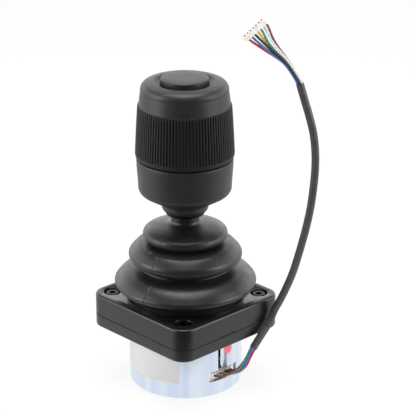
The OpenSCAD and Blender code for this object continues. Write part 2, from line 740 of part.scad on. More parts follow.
module grip_screws() {
    color([0.75, 0.75, 0.77]) at_bosses(boss_ring_r) translate([0, 0, web_z[0]]) mirror([0, 0, 1])
        pan_screw(1.58, 6.5, 3.6, 1.1);
}

module button_board() {
    color([0.05, 0.35, 0.2]) translate([0, 0, board_post_z]) cylinder(r = 10.6, h = 1.2);
}

switch_z = board_post_z + 1.2;
button_travel = 1.3;
module button_switch() {
    color([0.1, 0.1, 0.1]) translate([-3, -3, switch_z]) cube([6, 6, 1.9]);
    color([0.8, 0.75, 0.3]) translate([0, 0, switch_z + 1.8]) cylinder(r = 1.3, h = 0.5);
}

module button_spring() {
    color([0.7, 0.71, 0.73]) coil(6.2, 0.3, 5, switch_z + press_gap, 130.9 - press_gap, 0);
}

module button() {
    r = button_d / 2;
    edge_r = 0.45;
    flange_z = 128 - button_travel;
    stem_z = switch_z + 2.3 + button_travel + 0.05;
    outline = concat([[0, stem_z], [2.2, stem_z], [2.2, 130.9], [8.4, 130.9], [8.4, flange_z],
                      [11.2, flange_z], [11.2, 127.9], [r, 127.9]],
                     arc([r - edge_r, button_top_z - 0.15 - edge_r], edge_r, 0, 85, 5), [[0, button_top_z]]);
    color([0.2, 0.2, 0.2]) rotate_extrude() polygon(outline);
}

can();
blank_label();
inspection_dot();
lower_flange();
bezel();
mounting_screws();
bellows_lower();
bellows_upper();
bellows_ring();
gate_plate();
gate_screws();
gimbal_cradle();
cradle_screws();
sensor_board();
board_spacers();
board_screws();
tilt_sensor();
header();
inner_wires();
tilt_spring_x();
lead_plug();
lead_wires_near();
lead_sleeve();
lead_wires_far();
lead_connector();
gimbal_ring();
tilt_pins_x();
tilt_spring_y();
stick_shaft();
tilt_pins_y();
magnet_holder();
stick_magnet();
collar_locknut();
shaft_collar();
collar_set_screw();
grip_cup();
cup_nut();
twist_board();
twist_sensor();
twist_bush();
twist_spring();
shaft_nut();
grip_hub();
twist_magnet();
grip_sleeve();
grip_cap();
grip_screws();
button_board();
button_switch();
button_spring();
button();
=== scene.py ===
"""Looks of a three-axis hall-effect joystick.

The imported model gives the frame: its can, square flange, bellows, stick, twist grip, push button
and wired lead. The classes below make the finished surface of each sub-assembly in that frame,
dress it in the material that the real piece has, and let it ride on the body that carries it.
"""

import json
import logging
import math
from dataclasses import dataclass, field
from enum import Enum
from typing import Callable, Optional, Sequence, Union

import bmesh
import bpy
from mathutils import Matrix, Vector


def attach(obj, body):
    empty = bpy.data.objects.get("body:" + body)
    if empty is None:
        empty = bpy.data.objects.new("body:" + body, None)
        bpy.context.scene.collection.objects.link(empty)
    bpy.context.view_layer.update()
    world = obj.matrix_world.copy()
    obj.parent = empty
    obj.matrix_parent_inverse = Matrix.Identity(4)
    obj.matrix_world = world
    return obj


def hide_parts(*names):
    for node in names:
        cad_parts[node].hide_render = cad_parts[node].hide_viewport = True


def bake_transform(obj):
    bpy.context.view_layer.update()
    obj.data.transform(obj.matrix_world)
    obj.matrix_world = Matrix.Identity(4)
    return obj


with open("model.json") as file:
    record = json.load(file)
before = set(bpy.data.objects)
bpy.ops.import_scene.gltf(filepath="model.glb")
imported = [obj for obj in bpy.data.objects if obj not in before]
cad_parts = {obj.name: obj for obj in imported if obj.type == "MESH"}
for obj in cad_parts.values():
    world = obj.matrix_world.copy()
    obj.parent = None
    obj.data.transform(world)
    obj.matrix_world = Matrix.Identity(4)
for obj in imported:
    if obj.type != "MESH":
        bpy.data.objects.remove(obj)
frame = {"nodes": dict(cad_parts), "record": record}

LOG = logging.getLogger("joystick")
MM = 0.001
Point2 = tuple[float, float]
Point3 = tuple[float, float, float]
Rgba = tuple[float, float, float, float]
Form = bmesh.types.BMesh
Piece = bpy.types.Object
Tree = bpy.types.NodeTree
Socket = bpy.types.NodeSocket
WHITE: Rgba = (1.0, 1.0, 1.0, 1.0)
COAT_ROUGHNESS = 0.1
SHEEN_ROUGHNESS = 0.4
DUST_SPACING = 3.2


class Body(str, Enum):
    """The bodies that pieces ride on."""

    BASE = "base"
    GIMBAL = "gimbal"
    STICK = "stick"
    GRIP = "grip"
    BUTTON = "button"


# ---- finishes


def linear(hex_colour: str) -> Rgba:
    """Turns an sRGB hex colour to linear RGBA.

    Args:
        hex_colour: Six hex digits, such as "3A3B3D".

    Returns:
        Red, green and blue on a linear scale, and an alpha of 1.
    """
    parts = [int(hex_colour[i : i + 2], 16) / 255 for i in (0, 2, 4)]
    red, green, blue = (c / 12.92 if c <= 0.04045 else ((c + 0.055) / 1.055) ** 2.4 for c in parts)
    return red, green, blue, 1.0


def add_node(
    tree: Tree,
    kind: str,
    inputs: Optional[dict[Union[str, int], object]] = None,
    **settings: object,
) -> bpy.types.Node:
    """Adds a node with its settings and what feeds its sockets.

    Args:
        tree: The node tree that gets the node.
        kind: The node's Blender type name.
        inputs: For each input socket, a value or the output socket that links to it.
        **settings: Attributes of the node.

    Returns:
        The new node.
    """
    node = tree.nodes.new(kind)
    for name, value in settings.items():
        setattr(node, name, value)
    for socket, value in (inputs or {}).items():
        if isinstance(value, Socket):
            tree.links.new(value, node.inputs[socket])
        else:
            node.inputs[socket].default_value = value
    return node


def empty_tree(owner: Union[bpy.types.Material, bpy.types.World]) -> Tree:
    """Turns on the nodes of a material or a world, clears them and gives their tree."""
    owner.use_nodes = True
    owner.node_tree.nodes.clear()
    return owner.node_tree


def maths(tree: Tree, operation: str, first: Socket, second: Union[Socket, float]) -> Socket:
    """Adds one step of arithmetic and gives its result."""
    return add_node(tree, "ShaderNodeMath", {0: first, 1: second}, operation=operation).outputs[0]


def along_way(tree: Tree, place: Socket, way: Vector) -> Socket:
    """Gives how far a place lies along a way."""
    product = add_node(tree, "ShaderNodeVectorMath", {0: place, 1: way}, operation="DOT_PRODUCT")
    return product.outputs["Value"]


def ramp(tree: Tree, value: Socket, low: float, high: float, start: float = 0.0,
         end: float = 1.0) -> Socket:
    """Maps a value, clamped between low and high, to the range from start to end."""
    inputs = {"Value": value, "From Min": low, "From Max": high, "To Min": start, "To Max": end}
    return add_node(tree, "ShaderNodeMapRange", inputs).outputs["Result"]


def mixed_colour(tree: Tree, share: Socket, first: Union[Socket, Rgba], second: Rgba) -> Socket:
    """Mixes two colours, by the share of the second."""
    return add_node(tree, "ShaderNodeMix", {0: share, 6: first, 7: second}, data_type="RGBA").outputs[2]


def mixed_shader(tree: Tree, share: Socket, first: Socket, second: Socket) -> Socket:
    """Mixes two shaders, by the share of the second."""
    return add_node(tree, "ShaderNodeMixShader", {0: share, 1: first, 2: second}).outputs[0]


class Pattern(Enum):
    """Patterns that a process leaves on a surface."""

    CLOUDS = "clouds"
    GRIT = "grit"
    DRAWN = "drawn"
    TURNED = "turned"
    DUST = "dust"


@dataclass(frozen=True)
class Relief:
    """One layer of surface relief.

    Attributes:
        pattern: What left it.
        size: Size of one feature, in mm.
        height: Height from low to high, in mm.
    """

    pattern: Pattern
    size: float
    height: float


@dataclass(frozen=True)
class Finish:
    """What a surface is made of, and how it was made.

    Attributes:
        name: Common name of the material and its process.
        colour: sRGB hex colour.
        tint: sRGB hex colour of the patches that vary it, and their size in mm, or None.
        tint_pattern: Pattern of the patches.
        metallic: 1 for a bare metal and 0 for the rest.
        rough: Lowest roughness, highest roughness and size of its patches, in mm.
        ior: Index of refraction, for what isn't metal.
        coat: Weight of a clear gloss over the surface.
        sheen: Weight of the dusty look that soft rubber has.
        dust: sRGB hex colour of specks of dust, or None.
        relief: Layers of relief.
    """

    name: str
    colour: str
    tint: Optional[tuple[str, float]] = None
    tint_pattern: Pattern = Pattern.CLOUDS
    metallic: float = 0.0
    rough: tuple[float, float, float] = (0.5, 0.6, 3.0)
    ior: float = 1.5
    coat: float = 0.0
    sheen: float = 0.0
    dust: Optional[str] = None
    relief: tuple[Relief, ...] = ()

    def build(self) -> bpy.types.Material:
        """Makes the material, or finds it if it is made.

        Returns:
            The procedural material.
        """
        known = bpy.data.materials.get(self.name)
        if known:
            return known
        material = bpy.data.materials.new(self.name)
        tree = empty_tree(material)
        place = add_node(tree, "ShaderNodeTexCoord").outputs["Object"]
        surface = {
            "Base Color": self._colour(tree, place), "Metallic": self.metallic, "Coat Weight": self.coat,
            "Coat Roughness": COAT_ROUGHNESS, "Sheen Weight": self.sheen,
            "Sheen Roughness": SHEEN_ROUGHNESS,
        }
        if not self.metallic:
            surface["IOR"] = self.ior
        low, high, size = self.rough
        patches = self._pattern(tree, place, Pattern.CLOUDS, size)
        surface["Roughness"] = ramp(tree, patches, 0.3, 0.7, low, high)
        for layer in self.relief:
            bump = {
                "Height": self._pattern(tree, place, layer.pattern, layer.size),
                "Distance": layer.height * MM, "Strength": 1.0,
            }
            if "Normal" in surface:
                bump["Normal"] = surface["Normal"]
            surface["Normal"] = add_node(tree, "ShaderNodeBump", bump).outputs["Normal"]
        shader = add_node(tree, "ShaderNodeBsdfPrincipled", surface)
        add_node(tree, "ShaderNodeOutputMaterial", {"Surface": shader.outputs["BSDF"]})
        return material

    def _colour(self, tree: Tree, place: Socket) -> Union[Socket, Rgba]:
        """Mixes the patches and the dust into the colour.

        Args:
            tree: The material's node tree.
            place: Where on the object a point is.

        Returns:
            The colour, as a socket where it varies.
        """
        colour = linear(self.colour)
        if self.tint:
            tint, size = self.tint
            patches = ramp(tree, self._pattern(tree, place, self.tint_pattern, size), 0.35, 0.65)
            colour = mixed_colour(tree, patches, colour, linear(tint))
        if self.dust:
            specks = self._pattern(tree, place, Pattern.DUST, DUST_SPACING)
            colour = mixed_colour(tree, specks, colour, linear(self.dust))
        return colour

    def _pattern(self, tree: Tree, place: Socket, pattern: Pattern, size: float) -> Socket:
        """Adds the nodes of one pattern.

        Args:
            tree: The material's node tree.
            place: Where on the object a point is.
            pattern: Which pattern.
            size: Size of one feature, in mm.

        Returns:
            A value from 0 to 1.
        """
        scale = 1 / (size * MM)
        if pattern is Pattern.DUST:
            cells = add_node(tree, "ShaderNodeTexVoronoi", {"Vector": place, "Scale": scale}, feature="F1")
            few = maths(tree, "GREATER_THAN", cells.outputs["Color"], 0.86)
            near = ramp(tree, cells.outputs["Distance"], 0.13, 0.06, 0.0, 0.8)
            return maths(tree, "MULTIPLY", few, near)
        stretch = {Pattern.DRAWN: (1.0, 1.0, 0.04), Pattern.TURNED: (0.05, 0.05, 1.0)}.get(pattern)
        if stretch:
            mapping = add_node(tree, "ShaderNodeMapping", {"Vector": place, "Scale": Vector(stretch)})
            place = mapping.outputs["Vector"]
        detail = 3.0 if pattern is Pattern.CLOUDS else 1.0
        noise = add_node(tree, "ShaderNodeTexNoise", {"Vector": place, "Scale": scale, "Detail": detail})
        return noise.outputs["Fac"]


# Mild steel, zinc plated and blue passivated: a cool white metal, drawn and then dipped
PLATED_CAN = Finish(
    "zinc_plated_deep_drawn_steel", "DCE5F2", tint=("C9D6EA", 5.0), tint_pattern=Pattern.DRAWN,
    metallic=1.0, rough=(0.16, 0.26, 6.0),
    relief=(Relief(Pattern.DRAWN, 3.0, 0.004), Relief(Pattern.CLOUDS, 9.0, 0.02)),
)
# Glass-filled nylon out of a spark-eroded mould: near black, with a fine even grain
MOULDED_FLANGE = Finish(
    "moulded_black_nylon", "101011", tint=("151516", 5.0), rough=(0.27, 0.36, 4.0), ior=1.53,
    relief=(Relief(Pattern.GRIT, 0.22, 0.004),),
)
# ABS with a matt spark-eroded grain: dark grey-black, and dusty at low angles
MOULDED_GRIP = Finish(
    "moulded_matt_abs", "1A1A1B", tint=("1E1E1F", 4.0), rough=(0.42, 0.5, 2.0), ior=1.52,
    relief=(Relief(Pattern.GRIT, 0.2, 0.006),),
)
# Ribbed elastomer sleeve: deeper black than the plastic beside it
RIBBED_SLEEVE = Finish(
    "moulded_ribbed_elastomer", "0B0B0B", tint=("0F0F0F", 2.0), rough=(0.5, 0.6, 1.0), ior=1.42,
    relief=(Relief(Pattern.GRIT, 0.25, 0.005),),
)
# Chloroprene rubber, compression moulded: satin black with a soft bloom and a little dust
BELLOWS_RUBBER = Finish(
    "moulded_chloroprene_rubber", "141415", tint=("1A1A1B", 7.0), rough=(0.33, 0.44, 5.0), ior=1.52,
    sheen=0.03, dust="9A9A98",
    relief=(Relief(Pattern.GRIT, 0.3, 0.004), Relief(Pattern.CLOUDS, 5.0, 0.03)),
)
# Black oxide on alloy steel: dark, slightly blue, oily gloss
BLACK_SCREW = Finish(
    "black_oxide_steel", "2A2B2E", tint=("1F2023", 1.5), metallic=1.0, rough=(0.3, 0.45, 0.8),
    relief=(Relief(Pattern.TURNED, 0.15, 0.004),),
)
# Ground and turned spring or stainless steel
BRIGHT_STEEL = Finish(
    "turned_steel", "B9BBC0", tint=("A6A8AD", 1.0), tint_pattern=Pattern.TURNED, metallic=1.0,
    rough=(0.22, 0.35, 1.2), relief=(Relief(Pattern.TURNED, 0.2, 0.003),),
)
# Zinc alloy out of a die: grey with a soft crystalline skin
DIE_CAST = Finish(
    "die_cast_zinc", "85888C", tint=("777A7E", 2.5), metallic=1.0, rough=(0.42, 0.55, 1.5),
    relief=(Relief(Pattern.CLOUDS, 0.9, 0.015),),
)
# Polyester film with a matt coat, bare
LABEL_FILM = Finish(
    "matt_polyester_film", "D2D2D1", tint=("CCCDCD", 8.0), rough=(0.42, 0.5, 4.0), ior=1.6,
    relief=(Relief(Pattern.CLOUDS, 3.0, 0.004),),
)
# Marking lacquer, dabbed on
MARKING_LACQUER = Finish(
    "marking_lacquer", "FF7C82", tint=("F96F77", 1.6), rough=(0.3, 0.42, 1.2), ior=1.48,
    relief=(Relief(Pattern.CLOUDS, 0.8, 0.01),),
)
# Natural nylon 66, moulded: milky white
NATURAL_NYLON = Finish(
    "moulded_natural_nylon", "F1EFE8", tint=("E9E6DC", 2.0), rough=(0.34, 0.45, 1.0), ior=1.53, coat=0.1,
    relief=(Relief(Pattern.CLOUDS, 0.6, 0.004),),
)
# Soft PVC sleeving: black, matt, faintly wrinkled
SLEEVING = Finish(
    "extruded_pvc_sleeving", "3B383A", tint=("424041", 3.0), rough=(0.42, 0.52, 1.5), ior=1.53,
    relief=(Relief(Pattern.CLOUDS, 1.4, 0.04),),
)
# Fibreglass board under solder resist
BOARD = Finish(
    "solder_resist_on_fibreglass", "0E5A34", tint=("0A4A2A", 1.5), rough=(0.25, 0.35, 1.0), coat=0.3,
    relief=(Relief(Pattern.GRIT, 0.4, 0.01),),
)
# Moulded epoxy chip package
CHIP = Finish(
    "moulded_epoxy", "1A1A1B", tint=("202021", 0.8), rough=(0.5, 0.6, 0.6),
    relief=(Relief(Pattern.GRIT, 0.1, 0.004),),
)
# Sintered bronze bush: brown-gold, open grain
BRONZE = Finish(
    "sintered_bronze", "B08A52", tint=("9A7540", 0.6), metallic=1.0, rough=(0.35, 0.5, 0.6),
    relief=(Relief(Pattern.GRIT, 0.2, 0.01),),
)
# Nickel plated magnet
MAGNET = Finish(
    "nickel_plated_magnet", "8E8C88", metallic=1.0, rough=(0.2, 0.3, 1.0),
    relief=(Relief(Pattern.CLOUDS, 0.8, 0.004),),
)

SLOT_FINISH: dict[str, Finish] = {
    "plated_steel": PLATED_CAN,
    "label": LABEL_FILM,
    "red_marker": MARKING_LACQUER,
    "black_plastic": MOULDED_FLANGE,
    "grip_plastic": MOULDED_GRIP,
    "grip_rubber": RIBBED_SLEEVE,
    "rubber": BELLOWS_RUBBER,
    "black_screw": BLACK_SCREW,
    "steel": BRIGHT_STEEL,
    "dark_metal": DIE_CAST,
    "board": BOARD,
    "nylon": NATURAL_NYLON,
    "chip": CHIP,
    "ivory_plastic": NATURAL_NYLON,
    "wire": SLEEVING,
    "sleeving": SLEEVING,
    "magnet": MAGNET,
    "brass": BRONZE,
}


def wire_finish(name: str, colour: str, tint: str) -> Finish:
    """Gives the finish of one wire: PVC out of an extruder, smooth and a little glossy.

    Args:
        name: The wire's colour in words.
        colour: sRGB hex colour.
        tint: sRGB hex colour of its slight unevenness.

    Returns:
        The finish.
    """
    return Finish(
        f"extruded_pvc_{name}", colour, tint=(tint, 2.0), rough=(0.3, 0.4, 1.0), ior=1.53,
        relief=(Relief(Pattern.CLOUDS, 0.7, 0.01),),
    )


# ---- shapes


def arc(centre: Point2, radius: float, start: float, end: float, steps: int) -> list[Point2]:
    """Gives points along an arc, with both ends.

    Args:
        centre: The arc's centre.
        radius: Its radius.
        start: Angle of the first point, in degrees.
        end: Angle of the last point, in degrees.
        steps: Number of chords.

    Returns:
        The points.
    """
    turns = [math.radians(start + (end - start) * i / steps) for i in range(steps + 1)]
    return [(centre[0] + radius * math.cos(a), centre[1] + radius * math.sin(a)) for a in turns]


def eased(corners: Sequence[tuple[float, ...]], steps: int = 4) -> list[Point2]:
    """Rounds the corners of a closed outline.

    Args:
        corners: Points of the outline, each with the radius of its round where it has one.
        steps: Chords in each round.

    Returns:
        The outline's points.
    """
    points: list[Point2] = []
    count = len(corners)
    for i, corner in enumerate(corners):
        here = Vector(corner[:2])
        radius = corner[2] if len(corner) > 2 else 0.0
        back = Vector(corners[i - 1][:2]) - here
        on = Vector(corners[(i + 1) % count][:2]) - here
        if radius <= 0 or back.length < 1e-6 or on.length < 1e-6:
            points.append((here.x, here.y))
            continue
        turn = back.angle(on)
        cut = min(radius / math.tan(turn / 2), back.length * 0.49, on.length * 0.49)
        start, end = here + back.normalized() * cut, here + on.normalized() * cut
        for k in range(steps + 1):
            t = k / steps
            bend = start * (1 - t) ** 2 + here * 2 * t * (1 - t) + end * t ** 2
            points.append((bend.x, bend.y))
    return points


def smooth_line(points: Sequence[Point2], steps: int = 6) -> list[Point2]:
    """Draws a smooth line through points, with both ends.

    Args:
        points: The points that it goes through.
        steps: Chords between two points.

    Returns:
        The line's points.
    """
    flat = smooth_path([(p[0], p[1], 0.0) for p in points], steps)
    return [(p.x, p.y) for p in flat]


def smooth_path(points: Sequence[Point3], steps: int = 6) -> list[Vector]:
    """Draws a smooth path through points in space, with both ends.

    Args:
        points: The points that it goes through.
        steps: Chords between two points.

    Returns:
        The path's points.
    """
    knots = [Vector(p) for p in points]
    first = knots[0] * 2 - knots[1]
    last = knots[-1] * 2 - knots[-2]
    line = [first, *knots, last]
    path: list[Vector] = []
    for i in range(1, len(line) - 2):
        a, b, c, d = line[i - 1 : i + 3]
        spans = [max((q - p).length, 1e-6) ** 0.5 for p, q in ((a, b), (b, c), (c, d))]
        t1, t2, t3 = spans[0], spans[0] + spans[1], sum(spans)
        for k in range(steps):
            t = t1 + (t2 - t1) * k / steps
            ab = a * ((t1 - t) / t1) + b * (t / t1)
            bc = b * ((t2 - t) / (t2 - t1)) + c * ((t - t1) / (t2 - t1))
            cd = c * ((t3 - t) / (t3 - t2)) + d * ((t - t2) / (t3 - t2))
            abc = ab * ((t2 - t) / t2) + bc * (t / t2)
            bcd = bc * ((t3 - t) / (t3 - t1)) + cd * ((t - t1) / (t3 - t1))
            path.append(abc * ((t2 - t) / (t2 - t1)) + bcd * ((t - t1) / (t2 - t1)))
    path.append(knots[-1])
    return path


def make_object(name: str, form: Form, crease: float = 32.0) -> Piece:
    """Turns a mesh in mm to an object in metres, smooth but for its edges.

    Args:
        name: The object's name.
        form: The mesh, which is freed.
        crease: Angle above which an edge stays sharp, in degrees.

    Returns:
        The object.
    """
    bmesh.ops.remove_doubles(form, verts=form.verts, dist=1e-5)
    bmesh.ops.recalc_face_normals(form, faces=form.faces)
    bmesh.ops.scale(form, vec=Vector((MM, MM, MM)), verts=form.verts)
    mesh = bpy.data.meshes.new(name)
    form.to_mesh(mesh)
    form.free()
    piece = bpy.data.objects.new(name, mesh)
    bpy.context.scene.collection.objects.link(piece)
    shade(piece, crease)
    return piece


def shade(piece: Piece, crease: float = 32.0) -> None:
    """Shades a mesh smooth, but for edges sharper than crease degrees."""
    piece.data.polygons.foreach_set("use_smooth", [True] * len(piece.data.polygons))
    piece.data.set_sharp_from_angle(angle=math.radians(crease))


def even_angles(count: int) -> list[float]:
    """Gives count angles round a full turn, in degrees."""
    return [360 * i / count for i in range(count)]


def revolve(
    form: Form,
    outline: Sequence[Point2],
    angles: Sequence[float],
    swell: Optional[Callable[[float, float, float], float]] = None,
    closed: bool = True,
) -> None:
    """Turns an outline about +Z.

    Args:
        form: The mesh that gets the faces, in mm.
        outline: Radius and height of each point.
        angles: Angles of the copies round a full turn, in degrees, rising.
        swell: Gives what to add to the radius, from the angle, the radius and the height.
        closed: Whether the outline's last point joins its first.
    """
    rings: list[list[bmesh.types.BMVert]] = []
    axis: dict[int, bmesh.types.BMVert] = {}
    for angle in angles:
        c, s = math.cos(math.radians(angle)), math.sin(math.radians(angle))
        ring = []
        for i, (r, z) in enumerate(outline):
            if r < 1e-6:
                if i not in axis:
                    axis[i] = form.verts.new((0.0, 0.0, z))
                ring.append(axis[i])
                continue
            out = r + (swell(angle, r, z) if swell else 0.0)
            ring.append(form.verts.new((out * c, out * s, z)))
        rings.append(ring)
    last = len(outline) if closed else len(outline) - 1
    for a, ring in enumerate(rings):
        other = rings[(a + 1) % len(rings)]
        for i in range(last):
            j = (i + 1) % len(outline)
            corners = []
            for vert in (ring[i], other[i], other[j], ring[j]):
                if vert not in corners:
                    corners.append(vert)
            if len(corners) > 2:
                form.faces.new(corners)


def turned(
    name: str, outline: Sequence[Point2], count: int = 160, crease: float = 32.0
) -> Piece:
    """Makes a turned piece from its closed outline.

    Args:
        name: The piece's name.
        outline: Radius and height of each point, in mm.
        count: Number of sides round it.
        crease: Angle above which an edge stays sharp, in degrees.

    Returns:
        The piece.
    """
    form = bmesh.new()
    revolve(form, outline, even_angles(count))
    return make_object(name, form, crease)


def loft(form: Form, loops: Sequence[Sequence[Point3]], caps: bool = True) -> None:
    """Joins closed loops of equal length one to the next.

    Args:
        form: The mesh that gets the faces.
        loops: The loops' points.
        caps: Whether the first and the last are closed.
    """
    rings = [[form.verts.new(p) for p in loop] for loop in loops]
    for low, high in zip(rings, rings[1:]):
        for i in range(len(low)):
            j = (i + 1) % len(low)
            form.faces.new((low[i], low[j], high[j], high[i]))
    if caps:
        form.faces.new(list(reversed(rings[0])))
        form.faces.new(rings[-1])


def rounded_box(half_x: float, half_y: float, corner: float, z: float, steps: int = 10) -> list[Point3]:
    """Gives the outline of a rectangle with round corners at a height.

    Args:
        half_x: Half its side along X.
        half_y: Half its side along Y.
        corner: Radius of its corners.
        z: Its height.
        steps: Chords in each corner.

    Returns:
        The outline's points, anticlockwise.
    """
    points: list[Point3] = []
    for turn, (sx, sy) in zip((0, 90, 180, 270), ((1, 1), (-1, 1), (-1, -1), (1, -1))):
        middle = (sx * (half_x - corner), sy * (half_y - corner))
        points += [(x, y, z) for x, y in arc(middle, corner, turn, turn + 90, steps)]
    return points


def bored(piece: Piece, cutters: Sequence[Piece], crease: float = 32.0) -> None:
    """Cuts shapes out of a piece and removes them.

    Args:
        piece: The piece to cut.
        cutters: The shapes.
        crease: Angle above which an edge stays sharp, in degrees.
    """
    for cutter in cutters:
        step = piece.modifiers.new("cut", "BOOLEAN")
        step.operation = "DIFFERENCE"
        step.solver = "EXACT"
        step.object = cutter
        settle(piece)
        bpy.data.objects.remove(cutter, do_unlink=True)
    shade(piece, crease)


def settle(piece: Piece) -> None:
    """Applies a piece's modifiers to its mesh."""
    shown = piece.evaluated_get(bpy.context.evaluated_depsgraph_get())
    mesh = bpy.data.meshes.new_from_object(shown)
    piece.modifiers.clear()
    piece.data = mesh


def soften(piece: Piece, width: float, steps: int = 2, angle: float = 40.0) -> None:
    """Breaks a piece's sharp edges, as moulding and deburring do.

    Args:
        piece: The piece.
        width: Width of the broken edge, in mm.
        steps: Number of faces across it.
        angle: Angle above which an edge is broken, in degrees.
    """
    step = piece.modifiers.new("edges", "BEVEL")
    step.width = width * MM
    step.segments = steps
    step.limit_method = "ANGLE"
    step.angle_limit = math.radians(angle)
    step.harden_normals = False
    settle(piece)
    shade(piece, 38.0)


def across_path(path: Sequence[Vector]) -> list[tuple[Vector, Vector]]:
    """Gives two directions across a path at each of its points, carried along it without twist."""
    pairs: list[tuple[Vector, Vector]] = []
    for i in range(len(path)):
        along = (path[min(i + 1, len(path) - 1)] - path[max(i - 1, 0)]).normalized()
        if pairs:
            normal = pairs[-1][0]
        else:
            normal = along.cross(Vector((0, 0, 1)) if abs(along.z) < 0.9 else Vector((1, 0, 0)))
        normal = (normal - along * normal.dot(along)).normalized()
        pairs.append((normal, along.cross(normal)))
    return pairs


def ring(centre: Vector, across: tuple[Vector, Vector], radius: float, sides: int) -> list[Point3]:
    """Gives the corners of one ring of a tube."""
    turns = [2 * math.pi * k / sides for k in range(sides)]
    return [tuple(centre + (across[0] * math.cos(a) + across[1] * math.sin(a)) * radius) for a in turns]


def paint(piece: Piece, *finishes: Finish) -> None:
    """Gives a piece one material for each finish."""
    piece.data.materials.clear()
    for finish in finishes:
        piece.data.materials.append(finish.build())


def fit(piece: Piece, body: Body, slot: str, *nodes: str) -> Piece:
    """Dresses a piece, lets it ride on its body and stand for its nodes.

    Args:
        piece: The piece.
        body: The body that carries it.
        slot: The record's material slot, which says its finish.
        *nodes: The nodes that it stands for.

    Returns:
        The piece.
    """
    paint(piece, SLOT_FINISH[slot])
    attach(piece, body.value)
    if nodes:
        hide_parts(*nodes)
    LOG.info("%s rides on %s", piece.name, body.value)
    return piece


# ---- camera and studio


